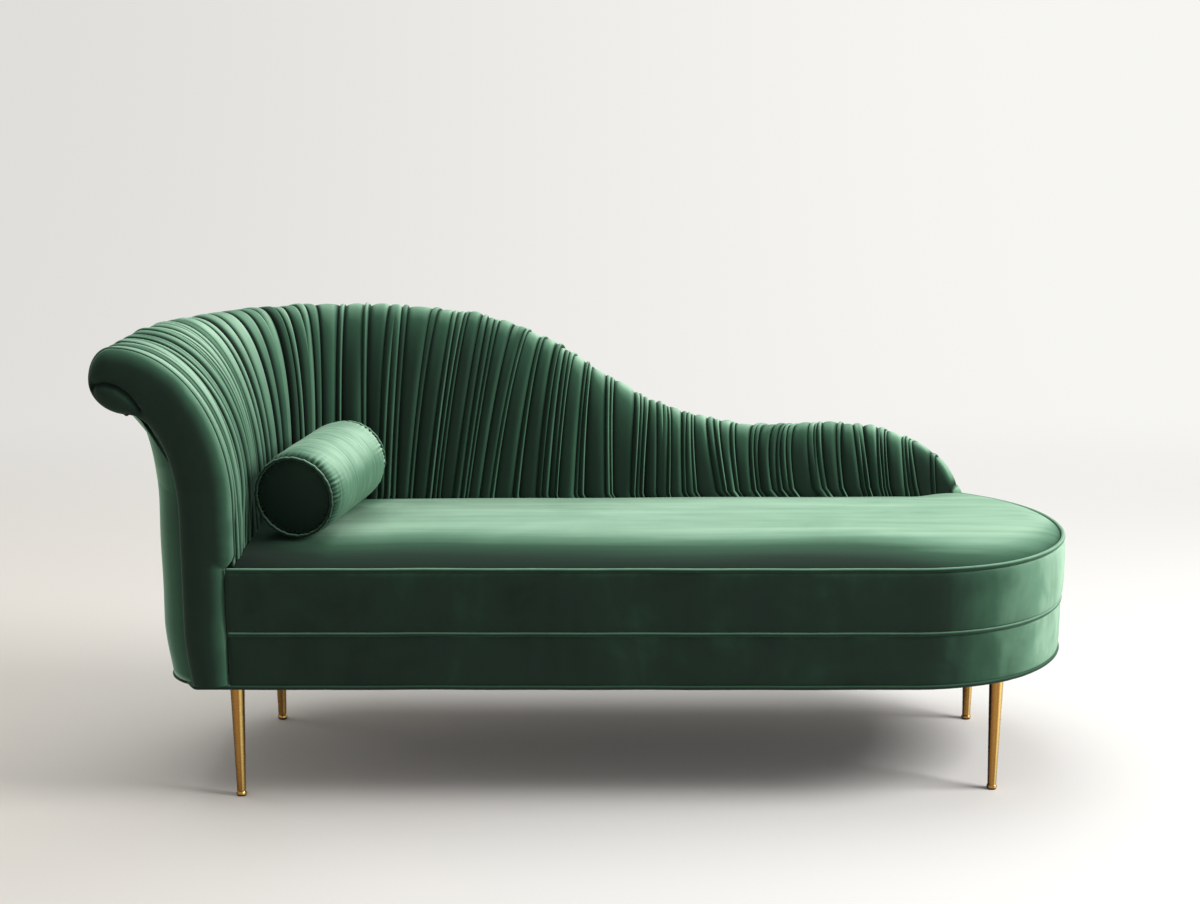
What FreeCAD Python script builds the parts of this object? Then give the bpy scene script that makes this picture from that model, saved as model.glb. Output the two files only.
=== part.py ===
import FreeCAD, Part
import math
import os
from FreeCAD import Vector

os.makedirs("parts", exist_ok=True)

# A velvet chaise longue on four tapered brass legs. X runs along its length with the scrolled
# head at -X, Y runs from the front (-Y) to the back (+Y), and Z is up from the floor, in mm.

# Plan of the base
front_y = -316
back_y = 304
head_x = -797
foot_radius = (back_y - front_y) / 2
foot_x = 582
foot_y = (front_y + back_y) / 2
head_back_radius = 330
head_front_radius = 98
head_front_y = front_y + 106
facing_width = 94
facing_set_back = 17

# Foot of the pleats, where the seat meets the inner side of the arm and back
arm_x = -650
arm_run = 300
nook_radius = 190
nook_x = arm_x + nook_radius
nook_y = front_y + arm_run
back_line_start = nook_y + nook_radius
back_line_end = 231
tail_turn = 33
tail_overlap = 9

# Heights
leg_height = 221
rail_bottom = 226
rail_top = 318
mid_welt_height = 326
seat_edge_height = 447
seat_crown_height = 461
wall_foot = 330
skirt_bottom = 229.5
skirt_taper = 12

# Layers of upholstery
cover_thickness = 4
clearance = 0.3
hem_gap = 2
frame_gap = 6
pleat_depth = 10
pleat_valley = 6.5
pleat_width = 27
pleat_lining = 10
foam_depth = 40
panel_thickness = 5
welt_radius = 4
small_welt_radius = 3
deck_cloth_thickness = 1.6
dust_cover_thickness = 1.2
dust_cover_inset = 20
seat_gap = 3
seat_cover_gap = 2
tuck_in = 3.5

# Timber and metal
rail_thickness = 28
rail_inset = 8
panel_rail_inset = 23
panel_rail_thickness = 22
ply = 18
rib_gap = 1
bay_rail_depth = 14
crest_rail_width = 20
waist_rail_width = 40
crest_rail_set_in = 10
crest_rail_below = 40
waist_rail_lift = 30
cross_rail_half = 16
cross_rail_height = 44
cross_rail_lift = 6
wire = 4
tie_radius = 1.2
clip_half = 9
clip_width = 12
clip_thickness = 1.5
screw_radius = 2
screw_head_radius = 3.6
screw_head_height = 1.6
stud_radius = 4
stud_length_up = 30
stud_length_down = 15.5

# The wall of arm and back, by distance along the foot of the pleats: how far out and how high
# its crest lies, how far out its roll reaches, how deep the roll is, and where its curve starts.
# The hem lies under the roll and the outer face flares up to it, both told in depths of the roll.
nook_length = nook_radius * math.pi / 2
back_start = arm_run + nook_length
back_length = foot_x - nook_x
back_line_slope = (back_line_end - back_line_start) / back_length
tail_start = back_start + back_length
tail_length = 172
wall_end = tail_start + tail_length
facing_back = 20
facing_joint = 13.5
foam_end = 8
panel_tail = 60

tail_thinning = 0.62
hem_share = 0.55
hem_drops = 1.96
flare_drops = 3.2

crest_out = [(0, 200), (186, 189), (300, 165), (375, 136), (449, 108), (524, 88),
             (598, 76), (820, 67), (1064, 56), (1394, 41), (tail_start, 37), (wall_end, 9)]
crest_height = [(0, 845), (300, 845), (598, 844), (657, 841), (738, 835), (820, 822), (901, 798),
                (982, 758), (1064, 706), (1146, 657), (1228, 624), (1311, 603), (1394, 594),
                (1558, 596), (1642, 584), (1685, 570), (1725, 552), (1770, 520), (wall_end, 468)]
roll_reach = [(0, 241), (186, 228), (300, 205), (375, 184), (449, 168), (524, 156),
              (598, 148), (820, 133), (1064, 112), (1394, 85), (tail_start, 75), (wall_end, 19)]
roll_drop = [(0, 59), (186, 56), (598, 50), (820, 46), (1064, 42), (1394, 34),
             (tail_start, 29), (wall_end, 9)]
curve_start = [(0, 560), (300, 540), (598, 470), (wall_end, 470)]

# Legs: plan places of their centres
leg_places = {
    "front_head": (-660, front_y + 50),
    "back_head": (-648, front_y + 462),
    "front_foot": (738, front_y + 82),
    "back_foot": (758, front_y + 462),
}
leg_top_radius = 13.5
leg_foot_radius = 8
leg_wall = 1.6
leg_cap = 16
block_half = 48
block_width = 92
block_height = 48
block_behind = 50
tip_height = 9
tip_radius = 10
glide_height = 3
stub_radius = 3
stub_length = 4

# Bolster: centres of its two end panels
bolster_near = Vector(-559, front_y + 145, 546)
bolster_far = Vector(-488, front_y + 412, 562)
bolster_radius = 80.5
bolster_crown = 3
bolster_seam = 4.5
end_dome = 13


def between(table, place):
    """Value of a table at a place, on a smooth curve through its entries."""
    if place <= table[0][0]:
        return table[0][1]
    if place >= table[-1][0]:
        return table[-1][1]
    i = 0
    while table[i + 1][0] < place:
        i += 1
    x0, y0 = table[i]
    x1, y1 = table[i + 1]
    before = table[max(i - 1, 0)]
    after = table[min(i + 2, len(table) - 1)]
    slope0 = (y1 - before[1]) / (x1 - before[0])
    slope1 = (after[1] - y0) / (after[0] - x0)
    t = (place - x0) / (x1 - x0)
    rise = (2 * t ** 3 - 3 * t ** 2 + 1) * y0 + (3 * t ** 2 - 2 * t ** 3) * y1
    bend = (t ** 3 - 2 * t ** 2 + t) * slope0 + (t ** 3 - t ** 2) * slope1
    return rise + bend * (x1 - x0)


def inside_plan(x, y):
    """True where a point of the plan lies within the base."""
    if x < head_x or y < front_y or y > back_y:
        return False
    if x > foot_x:
        return math.hypot(x - foot_x, y - foot_y) < foot_radius
    corner_y = back_y - head_back_radius
    if x < head_x + head_back_radius and y > corner_y:
        return math.hypot(x - head_x - head_back_radius, y - corner_y) < head_back_radius
    if x < head_x + head_front_radius and y < head_front_y:
        return math.hypot(x - head_x - head_front_radius, y - head_front_y) < head_front_radius
    return True


def wall_thickness(x, y, turn):
    """Distance from the foot of the pleats to the outer face of the base."""
    low = 0.0
    high = 400.0
    while high - low > 0.001:
        middle = (low + high) / 2
        if inside_plan(x + middle * math.cos(turn), y + middle * math.sin(turn)):
            low = middle
        else:
            high = middle
    return low


def station(along):
    """Plan point of the foot of the pleats, outward direction and wall thickness at a place."""
    if along < arm_run:
        x = arm_x
        y = front_y + along
        turn = math.pi
        if along < facing_back:
            return x, y, turn, facing_width
        return x, y, turn, wall_thickness(x, y, turn)
    if along < back_start:
        turn = math.pi - (along - arm_run) / nook_radius
        x = nook_x + nook_radius * math.cos(turn)
        y = nook_y + nook_radius * math.sin(turn)
        return x, y, turn, wall_thickness(x, y, turn)
    if along < tail_start:
        part = (along - back_start) / back_length
        x = nook_x + part * back_length
        y = back_line_start + (x - nook_x) * back_line_slope
        return x, y, math.pi / 2, back_y - y
    part = (along - tail_start) / tail_length
    turn = math.radians(90 - part * tail_turn)
    reach = (back_line_end - foot_y) / (math.sin(turn) - back_line_slope * math.cos(turn))
    x = foot_x + reach * math.cos(turn)
    y = foot_y + reach * math.sin(turn)
    return x, y, turn, foot_radius - reach


def layer_scale(along):
    """Layers get thinner where the wall runs out at the foot end."""
    part = max(0.0, (along - tail_start) / tail_length)
    return 1 - tail_thinning * part


def arc(a, b, c):
    return Part.Arc(a, b, c).toShape()


def line(a, b):
    return Part.LineSegment(a, b).toShape()


def wall_points(along, inset, outer_inset):
    """Points of the wall's cross-section, from its inner foot over the crest to the outer foot."""
    x, y, turn, thickness = station(along)
    scale = layer_scale(along)
    inset = inset * scale
    outer_inset = outer_inset * scale
    crest_n = between(crest_out, along)
    crest_z = between(crest_height, along)
    reach = max(between(roll_reach, along), thickness + 1)
    drop = between(roll_drop, along)
    start_z = min(between(curve_start, along), crest_z - 1.4 * drop)
    hem_n = thickness + hem_share * (reach - thickness)
    hem_z = crest_z - hem_drops * drop
    flare_z = hem_z - flare_drops * drop
    roll_z = crest_z - drop

    def place(n, z):
        return Vector(x + n * math.cos(turn), y + n * math.sin(turn), z)

    inner = []
    for degrees in (0, 22.5, 45, 67.5, 90):
        swing = math.radians(degrees)
        n = crest_n - (crest_n - inset) * math.cos(swing)
        z = start_z + (crest_z - inset - start_z) * math.sin(swing)
        inner.append(place(n, z))
    roll = []
    for degrees in (45, 0):
        swing = math.radians(degrees)
        n = crest_n + (reach - inset - crest_n) * math.cos(swing)
        z = roll_z + (drop - inset) * math.sin(swing)
        roll.append(place(n, z))
    undercut = min(1.0, (reach - hem_n) / drop)
    inner_hem_n = hem_n - inset * (1 - undercut)
    inner_hem_z = hem_z + inset * undercut * min(1, 0.7 * drop / foam_depth)
    for degrees in (-45, -90):
        swing = math.radians(degrees)
        n = inner_hem_n + (reach - inset - inner_hem_n) * math.cos(swing)
        z = roll_z + (roll_z - inner_hem_z) * math.sin(swing)
        roll.append(place(n, z))
    flare = []
    for degrees in (90, 67.5, 45, 22.5, 0):
        swing = math.radians(degrees)
        n = thickness - outer_inset + (hem_n - thickness) * (1 - math.cos(swing))
        z = flare_z + (hem_z - hem_gap - flare_z) * math.sin(swing)
        flare.append(place(n, z))
    skirt = [place(thickness - outer_inset, wall_foot),
             place(thickness - outer_inset - skirt_taper / 3, (wall_foot + skirt_bottom) / 2),
             place(thickness - outer_inset - skirt_taper, skirt_bottom)]
    return place(inset, wall_foot), inner, roll, flare, skirt


def lining_edges(along, inset):
    """Edges up the inner face, over the crest and round the roll to the hem."""
    foot, inner, roll, flare, skirt = wall_points(along, inset, 0)
    return [line(foot, inner[0]),
            arc(inner[0], inner[1], inner[2]),
            arc(inner[2], inner[3], inner[4]),
            arc(inner[4], roll[0], roll[1]),
            arc(roll[1], roll[2], roll[3])]


def panel_edges(along, inset):
    """Edges down the outer face, from the hem to the bottom of the base."""
    foot, inner, roll, flare, skirt = wall_points(along, 0, inset)
    return [arc(flare[0], flare[2], flare[4]),
            line(flare[4], skirt[0]),
            arc(skirt[0], skirt[1], skirt[2])]


def closed_strip(outer, inner):
    """Closed wire from two lists of edges that run the same way."""
    start_outer = outer[0].Vertexes[0].Point
    end_outer = outer[-1].Vertexes[-1].Point
    start_inner = inner[0].Vertexes[0].Point
    end_inner = inner[-1].Vertexes[-1].Point
    edges = outer + [line(end_outer, end_inner)] + list(reversed(inner))
    edges.append(line(start_inner, start_outer))
    return Part.Wire(Part.__sortEdges__(edges))


def loft(wires):
    return Part.makeLoft(wires, True, True)


def spread(first, last, count):
    return [first + (last - first) * i / (count - 1) for i in range(count)]


def wall_stations(first, last):
    """Places that follow the wall's bends closely and its straight runs loosely."""
    straight_step = 55
    bend_step = 30
    corner_step = 14
    first_step = 6
    places = [first]
    while places[-1] < last:
        at = places[-1]
        step = straight_step
        if arm_run - bend_step < at < back_start + bend_step or at > tail_start - bend_step:
            step = bend_step
        if at < head_front_radius:
            step = corner_step
        if at < facing_back + bend_step:
            step = first_step
        places.append(at + step)
    places[-1] = last
    return places


def fold_stations():
    """Valleys and ridges of the pleats, unevenly gathered, with how high each stands."""
    folds = []
    place = facing_back
    count = 0
    while place < wall_end - pleat_width / 2:
        width = pleat_width * (1 + 0.28 * math.sin(2.4 * count) + 0.17 * math.sin(5.3 * count + 1))
        height = pleat_depth * (0.78 + 0.22 * math.sin(3.7 * count + 2))
        folds.append((place, pleat_valley))
        folds.append((place + 0.5 * width, pleat_depth - height))
        place += width
        count += 1
    folds.append((wall_end, pleat_valley))
    return folds


def make_pleated_cover():
    wires = []
    for along, inset in fold_stations():
        wires.append(closed_strip(lining_edges(along, inset), lining_edges(along, pleat_lining)))
    return loft(wires)


def make_back_foam():
    wires = []
    for along, inset in fold_stations():
        if facing_joint + ply < along < wall_end - foam_end:
            outer = lining_edges(along, pleat_lining + clearance)
            inner = lining_edges(along, frame_inset(along))
            wires.append(closed_strip(outer, inner))
    return loft(wires)


def frame_inset(along):
    """How far the timber of the wall lies behind its pleated face."""
    drop = between(roll_drop, along)
    crest_n = between(crest_out, along)
    reach = between(roll_reach, along)
    share = 0.7
    return min(foam_depth, share * drop, share * crest_n, share * (reach - crest_n)) / layer_scale(along)


def make_outside_cover():
    wires = []
    for along in wall_stations(facing_back, wall_end):
        wires.append(closed_strip(panel_edges(along, 0), panel_edges(along, cover_thickness)))
    return loft(wires)


def make_outside_panel():
    wires = []
    near = cover_thickness + clearance
    for along in wall_stations(facing_back, wall_end):
        if facing_joint + ply < along < tail_start + panel_tail:
            outer = panel_edges(along, near)
            inner = panel_edges(along, near + panel_thickness)
            wires.append(closed_strip(outer, inner))
    return loft(wires)


def make_hem_welt():
    """Round cord along the seam between the pleated roll and the outside panel."""
    wires = []
    beside_seam = welt_radius + 0.6
    for along in wall_stations(facing_back, wall_end - foam_end + hem_gap):
        x, y, turn, thickness = station(along)
        flare = wall_points(along, 0, 0)[3]
        outward = Vector(math.cos(turn), math.sin(turn), 0)
        centre = flare[0] + outward * beside_seam - Vector(0, 0, hem_gap / 2)
        ring = []
        for side in range(8):
            swing = math.radians(45 * side)
            ring.append(centre + outward * (welt_radius * math.cos(swing))
                        + Vector(0, 0, welt_radius * math.sin(swing)))
        wires.append(Part.makePolygon(ring + ring[:1]))
    return loft(wires)


def section_wire(along, inset, outer_inset, bottom):
    """Closed cross-section of the wall's timber, standing on the rails."""
    foot, inner, roll, flare, skirt = wall_points(along, inset, outer_inset)
    inner_foot = Vector(foot.x, foot.y, bottom)
    outer_foot = Vector(skirt[0].x, skirt[0].y, bottom)
    edges = [line(inner_foot, inner[0]),
             arc(inner[0], inner[1], inner[2]),
             arc(inner[2], inner[3], inner[4]),
             arc(inner[4], roll[0], roll[1]),
             arc(roll[1], roll[2], roll[3]),
             line(roll[3], flare[2]),
             arc(flare[2], flare[3], flare[4]),
             line(flare[4], outer_foot),
             line(outer_foot, inner_foot)]
    return Part.Wire(edges)


def along_wall(along):
    """Direction in which the wall runs at a place."""
    turn = station(along)[2]
    return Vector(math.sin(turn), -math.cos(turn), 0)


rib_places = [170, 300, 400, 500, 600, 800, 1000, 1200, 1400, 1600]


def make_back_ribs():
    ribs = []
    outer = cover_thickness + clearance + panel_thickness + frame_gap
    for along in rib_places:
        wire_loop = section_wire(along, frame_inset(along) + frame_gap, outer, rail_top)
        face = Part.Face(wire_loop)
        direction = along_wall(along)
        face.translate(direction * (-ply / 2))
        ribs.append(face.extrude(direction * ply))
    return Part.makeCompound(ribs)


def make_bay_rails(place_of, width):
    """Short rails let in between neighbouring ribs, following the wall."""
    rails = []
    for first, second in zip(rib_places, rib_places[1:]):
        gap = ply / 2 + rib_gap
        wires = []
        for along in spread(first + gap, second - gap, 5):
            x, y, turn, thickness = station(along)
            n, z = place_of(along)
            outward = Vector(math.cos(turn), math.sin(turn), 0)
            near = Vector(x, y, z) + outward * n
            far = near + outward * bay_rail_depth
            up = Vector(0, 0, width)
            wires.append(Part.makePolygon([near, far, far + up, near + up, near]))
        rails.append(loft(wires))
    return Part.makeCompound(rails)


def crest_rail_place(along):
    n = between(crest_out, along) - crest_rail_set_in
    z = between(crest_height, along) - frame_inset(along) * layer_scale(along) - crest_rail_below
    return n, z


def waist_rail_place(along):
    return frame_inset(along) * layer_scale(along) + frame_gap, wall_foot + waist_rail_lift


def facing_edges(inset):
    """Outline of the arm's front panel: foot, inner sweep, scroll, outer sweep."""
    foot, inner, roll, flare, skirt = wall_points(0, inset, inset)
    side_inset = 0.4 * inset
    left = skirt[2].x + side_inset
    base = skirt_bottom + inset
    below_seat_x = arm_x - facing_set_back - side_inset
    seat_level = seat_edge_height + inset
    notch_low = Vector(below_seat_x, front_y, seat_level + 3)
    notch_high = Vector(inner[0].x, front_y, seat_level + 24)
    curl_in = Vector(flare[0].x + hem_gap + 0.5 * inset, front_y, roll[3].z)
    points = [Vector(below_seat_x, front_y, base), notch_low]
    edges = [line(points[0], points[1]),
             arc(notch_low, Vector(inner[0].x - 5, front_y, seat_level + 9), notch_high),
             line(notch_high, inner[0]),
             arc(inner[0], inner[1], inner[2]),
             arc(inner[2], inner[3], inner[4]),
             arc(inner[4], roll[0], roll[1]),
             arc(roll[1], roll[2], roll[3]),
             line(roll[3], curl_in),
             arc(curl_in, flare[2], flare[4]),
             line(flare[4], skirt[0]),
             line(skirt[0], Vector(left, front_y, base)),
             line(Vector(left, front_y, base), points[0])]
    return edges


def facing_wire(inset, depth):
    wire_loop = Part.Wire(facing_edges(inset))
    wire_loop.translate(Vector(0, depth, 0))
    return wire_loop


def facing_loft(levels):
    return loft([facing_wire(inset, depth) for inset, depth in levels])


def make_facing_cover():
    """Pillowed velvet face, from its back edge forward: inset from the outline, then depth."""
    back = facing_joint
    outer = facing_loft([(0.6, back), (0.2, 4), (3, -4), (9, -9)])
    inner = facing_loft([(5, back + 1), (5, 3), (7, -2), (12, -5)])
    return outer.cut(inner)


def make_facing_pad():
    """Wadding that fills the velvet face with a thin gap all round."""
    return facing_loft([(5.4, facing_joint), (5.4, 3), (7.4, -1.6), (12.4, -4.6)])


def make_facing_board():
    board = Part.Face(facing_wire(pleat_lining + frame_gap, facing_joint + clearance))
    return board.extrude(Vector(0, ply, 0))


band_start_x = arm_x - facing_set_back + 2.5
band_middle = 385
shoulder = 78
crown_inset = 140
deck_level = rail_top + 11


def outline_edges(inset, height, gap):
    """Plan of the seat: front, rounded foot end, foot of the back, nook and arm."""
    radius = foot_radius - inset
    wall_inset = gap + max(0.35 * inset, inset - 40)
    left = arm_x + wall_inset
    back_end_y = back_line_end + tail_overlap - wall_inset
    tail_angle = math.asin((back_end_y - foot_y) / radius)
    nook = nook_radius - wall_inset

    def at(x, y):
        return Vector(x, y, height)

    def on_foot(angle):
        return at(foot_x + radius * math.cos(angle), foot_y + radius * math.sin(angle))

    def on_nook(angle):
        return at(nook_x + nook * math.cos(angle), nook_y + nook * math.sin(angle))

    start = at(left, front_y + inset)
    return [line(start, on_foot(-math.pi / 2)),
            arc(on_foot(-math.pi / 2), on_foot(-math.pi / 4), on_foot(0)),
            arc(on_foot(0), on_foot(tail_angle / 2), on_foot(tail_angle)),
            line(on_foot(tail_angle), on_nook(math.pi / 2)),
            arc(on_nook(math.pi / 2), on_nook(3 * math.pi / 4), on_nook(math.pi)),
            line(on_nook(math.pi), start)]


def seat_loft(levels, gap):
    return loft([Part.Wire(outline_edges(inset, height, gap)) for height, inset in levels])


def make_seat_foam():
    """Seat filling from the springs up to its crown: height, then inset from the plan."""
    edge = seat_edge_height
    crown = seat_crown_height
    levels = [(deck_level + 2, 8), (band_middle, 5), (edge - 9, 8), (edge + 3, 26),
              (crown - 5.5, shoulder), (crown - 4, crown_inset)]
    return seat_loft(levels, seat_gap)


def make_seat_top():
    """Velvet over the crown of the seat, open below."""
    edge = seat_edge_height
    crown = seat_crown_height
    outer = [(edge - 5, 6.6), (edge + 2, 8.6), (edge + 7.5, 26), (crown - 1, shoulder),
             (crown + 0.5, crown_inset)]
    inner = [(edge - 6, 12.1), (edge + 3.4, 25.7), (crown - 5, shoulder - 0.3),
             (crown - 3.5, crown_inset)]
    return seat_loft(outer, seat_cover_gap).cut(seat_loft(inner, seat_gap - 0.2))


def band_edges(inset, height):
    """Plan line of the bands: along the front and round the foot end to the tip of the back."""
    radius = foot_radius - inset
    end = math.radians(90 - tail_turn - 1.15)

    def on_foot(angle):
        return Vector(foot_x + radius * math.cos(angle), foot_y + radius * math.sin(angle), height)

    start = Vector(band_start_x, front_y + inset, height)
    return [line(start, on_foot(-math.pi / 2)),
            arc(on_foot(-math.pi / 2), on_foot(-math.pi / 4), on_foot(0)),
            arc(on_foot(0), on_foot(end / 2), on_foot(end))]


def make_band(levels):
    wires = []
    for height, inset in levels:
        wires.append(closed_strip(band_edges(inset, height), band_edges(inset + cover_thickness, height)))
    return loft(wires)


def make_welt(edges, radius):
    """Round cord swept along a plan line."""
    path = Part.Wire(edges)
    start = edges[0].Vertexes[0].Point
    ahead = edges[0].tangentAt(edges[0].FirstParameter)
    ring = Part.Wire(Part.Circle(start, ahead, radius).toShape())
    return path.makePipeShell([ring], True, False)


def ring_sector(centre_x, centre_y, radius, width, first, last, bottom, height):
    """Curved timber cut from a ring."""
    def at(reach, angle):
        return Vector(centre_x + reach * math.cos(angle), centre_y + reach * math.sin(angle), bottom)

    first = math.radians(first)
    last = math.radians(last)
    middle = (first + last) / 2
    inner = radius - width
    edges = [arc(at(radius, first), at(radius, middle), at(radius, last)),
             line(at(radius, last), at(inner, last)),
             arc(at(inner, last), at(inner, middle), at(inner, first)),
             line(at(inner, first), at(radius, first))]
    return Part.Face(Part.Wire(edges)).extrude(Vector(0, 0, height))


def box(x0, x1, y0, y1, z0, z1):
    return Part.makeBox(x1 - x0, y1 - y0, z1 - z0, Vector(x0, y0, z0))


def upright(x, y, radius, z0, z1):
    return Part.makeCylinder(radius, z1 - z0, Vector(x, y, z0))


rail_height = rail_top - rail_bottom
front_rail_inner = front_y + rail_inset + rail_thickness
back_rail_inner = back_y - panel_rail_inset - panel_rail_thickness
front_rail_start = arm_x - 15
cross_places = [-448, -120, 230, 560]
cross_bottom = rail_bottom + cross_rail_lift
cross_top = cross_bottom + cross_rail_height
spring_rail_y = 140
spring_rail_start = -600
spring_rail_end = 640
bow_joint = 55


def make_front_rail():
    return box(front_rail_start, foot_x, front_y + rail_inset, front_rail_inner, rail_bottom, rail_top)


def make_back_rail():
    return box(head_x + head_back_radius, foot_x, back_rail_inner, back_y - panel_rail_inset,
               rail_bottom, rail_top)


def make_head_rail():
    return box(head_x + panel_rail_inset, head_x + panel_rail_inset + panel_rail_thickness,
               head_front_y, back_y - head_back_radius, rail_bottom, rail_top)


def make_foot_bow():
    return ring_sector(foot_x, foot_y, foot_radius - rail_inset, rail_thickness, -90, bow_joint,
                       rail_bottom, rail_height)


def make_foot_bow_back():
    return ring_sector(foot_x, foot_y, foot_radius - panel_rail_inset, panel_rail_thickness,
                       bow_joint + 0.2, 90, rail_bottom, rail_height)


def make_head_bow():
    return ring_sector(head_x + head_back_radius, back_y - head_back_radius,
                       head_back_radius - panel_rail_inset, panel_rail_thickness, 90, 180,
                       rail_bottom, rail_height)


def make_cross_rails():
    rails = []
    for x in cross_places:
        rails.append(box(x - cross_rail_half, x + cross_rail_half, front_rail_inner, back_rail_inner,
                         cross_bottom, cross_top))
    return Part.makeCompound(rails)


def make_spring_rail():
    return box(spring_rail_start, spring_rail_end, spring_rail_y, spring_rail_y + rail_thickness,
               cross_top, rail_top)


spring_places = spread(-560, 576, 9)
spring_height = rail_top + wire


def make_springs():
    """Zigzag wires from the front rail to the spring rail."""
    springs = []
    half_width = 22
    turns = 14
    first_y = front_rail_inner - 12
    pitch = (spring_rail_y + 14 - first_y) / turns
    bend = pitch / 2
    for x in spring_places:
        edges = []
        side = 1
        for turn in range(turns):
            y = first_y + turn * pitch
            low = Vector(x - side * half_width, y, spring_height)
            high = Vector(x + side * half_width, y, spring_height)
            edges.append(line(low, high))
            if turn < turns - 1:
                crown = Vector(x + side * (half_width + bend), y + bend, spring_height)
                ending = Vector(x + side * half_width, y + pitch, spring_height)
                edges.append(arc(high, crown, ending))
            side = -side
        path = Part.Wire(edges)
        ring = Part.Wire(Part.Circle(edges[0].Vertexes[0].Point, Vector(1, 0, 0), wire / 2).toShape())
        springs.append(path.makePipeShell([ring], True, False))
    return Part.makeCompound(springs)


def make_spring_clips():
    clips = []
    for x in spring_places:
        for y in (front_rail_inner - 1.5 * clip_width, spring_rail_y + 4):
            clips.append(box(x - clip_half, x + clip_half, y, y + clip_width,
                             rail_top, rail_top + clip_thickness))
    return Part.makeCompound(clips)


def make_spring_ties():
    ties = []
    length = spring_rail_end - spring_rail_start - 50
    above = spring_height + wire / 2 + tie_radius + 0.2
    for y in (-160, -20):
        start = Vector(spring_rail_start + 10, y, above)
        ties.append(Part.makeCylinder(tie_radius, length, start, Vector(1, 0, 0)))
    return Part.makeCompound(ties)


def make_deck_cloth():
    face = Part.Face(Part.Wire(outline_edges(12, deck_level, 2 * seat_gap)))
    return face.extrude(Vector(0, 0, deck_cloth_thickness))


def plan_arc(centre_x, centre_y, radius, first, last, height):
    points = []
    for degrees in (first, (first + last) / 2, last):
        turn = math.radians(degrees)
        points.append(Vector(centre_x + radius * math.cos(turn), centre_y + radius * math.sin(turn),
                             height))
    return arc(*points)


corner_end = 250


def make_dust_cover():
    """Black cloth stapled over the bottom of the frame."""
    inset = dust_cover_inset
    z = rail_bottom - dust_cover_thickness - 0.2
    bow_x = head_x + head_back_radius
    bow_y = back_y - head_back_radius
    corner_x = head_x + head_front_radius
    edges = [plan_arc(foot_x, foot_y, foot_radius - inset, -90, 0, z),
             plan_arc(foot_x, foot_y, foot_radius - inset, 0, 90, z),
             line(Vector(foot_x, back_y - inset, z), Vector(bow_x, back_y - inset, z)),
             plan_arc(bow_x, bow_y, head_back_radius - inset, 90, 180, z),
             line(Vector(head_x + inset, bow_y, z), Vector(head_x + inset, head_front_y, z)),
             plan_arc(corner_x, head_front_y, head_front_radius - inset, 180, corner_end, z)]
    corner = edges[-1].Vertexes[-1].Point
    turn = Vector(corner.x, front_y + inset, z)
    edges.append(line(corner, turn))
    edges.append(line(turn, Vector(foot_x, front_y + inset, z)))
    return Part.Face(Part.Wire(edges)).extrude(Vector(0, 0, dust_cover_thickness))


def block_box(name):
    x, y = leg_places[name]
    toward_front = name.startswith("front")
    y0 = front_rail_inner if toward_front else y - block_behind
    return x - block_half, x + block_half, y0, y0 + block_width


block_top = rail_bottom + block_height
plate_radius = 24
plate_thickness = 3
screw_offset = 13.1
screw_end = rail_bottom + 22


def leg_screw_places(name):
    x, y = leg_places[name]
    return [(x + i * screw_offset, y + j * screw_offset) for i in (-1, 1) for j in (-1, 1)]


def drilled(timber):
    """Timber with the holes for the legs' studs and screws."""
    for name, (x, y) in leg_places.items():
        hole_end = rail_bottom + stud_length_up + 4
        timber = timber.cut(upright(x, y, stud_radius + 0.2, rail_bottom - 1, hole_end))
        for sx, sy in leg_screw_places(name):
            timber = timber.cut(upright(sx, sy, screw_radius, rail_bottom - 1, screw_end + 2))
    return timber


def make_leg_blocks():
    foot_room = upright(foot_x, foot_y, foot_radius - rail_inset - rail_thickness, rail_bottom, block_top)
    head_room = upright(head_x + head_back_radius, back_y - head_back_radius,
                        head_back_radius - panel_rail_inset - panel_rail_thickness,
                        rail_bottom, block_top)
    blocks = []
    for name in leg_places:
        x0, x1, y0, y1 = block_box(name)
        block = box(x0, x1, y0, y1, rail_bottom, block_top)
        if name.endswith("foot"):
            block = block.common(foot_room)
        if name == "back_head":
            block = block.common(head_room)
        blocks.append(drilled(block))
    return Part.makeCompound(blocks)


def make_leg(name):
    """Tapered brass tube closed at its top, hollow below."""
    x, y = leg_places[name]
    top = leg_height
    outline = [Vector(0, 0, top), Vector(leg_top_radius, 0, top),
               Vector(leg_foot_radius, 0, tip_height),
               Vector(leg_foot_radius - leg_wall, 0, tip_height),
               Vector(leg_top_radius - leg_wall, 0, top - leg_cap), Vector(0, 0, top - leg_cap),
               Vector(0, 0, top)]
    solid = Part.Face(Part.makePolygon(outline)).revolve(Vector(0, 0, 0), Vector(0, 0, 1), 360)
    solid.translate(Vector(x, y, 0))
    return solid.cut(upright(x, y, stud_radius, top - leg_cap - 1, top + 1))


def make_leg_tip(name):
    """Flared ferrule round the end of the leg."""
    x, y = leg_places[name]
    outline = [Vector(0, 0, glide_height), Vector(tip_radius - 0.8, 0, glide_height),
               Vector(tip_radius, 0, glide_height + 1.4), Vector(tip_radius - 1.4, 0, tip_height - 1.5),
               Vector(leg_foot_radius, 0, tip_height), Vector(0, 0, tip_height),
               Vector(0, 0, glide_height)]
    solid = Part.Face(Part.makePolygon(outline)).revolve(Vector(0, 0, 0), Vector(0, 0, 1), 360)
    solid.translate(Vector(x, y, 0))
    return solid.cut(upright(x, y, stub_radius, glide_height - 1, glide_height + stub_length))


def make_glide(name):
    """Nylon pad with a stub that pushes into the ferrule."""
    x, y = leg_places[name]
    pad = upright(x, y, tip_radius - 1.6, 0, glide_height)
    return pad.fuse(upright(x, y, stub_radius, 0, glide_height + stub_length))


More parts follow.
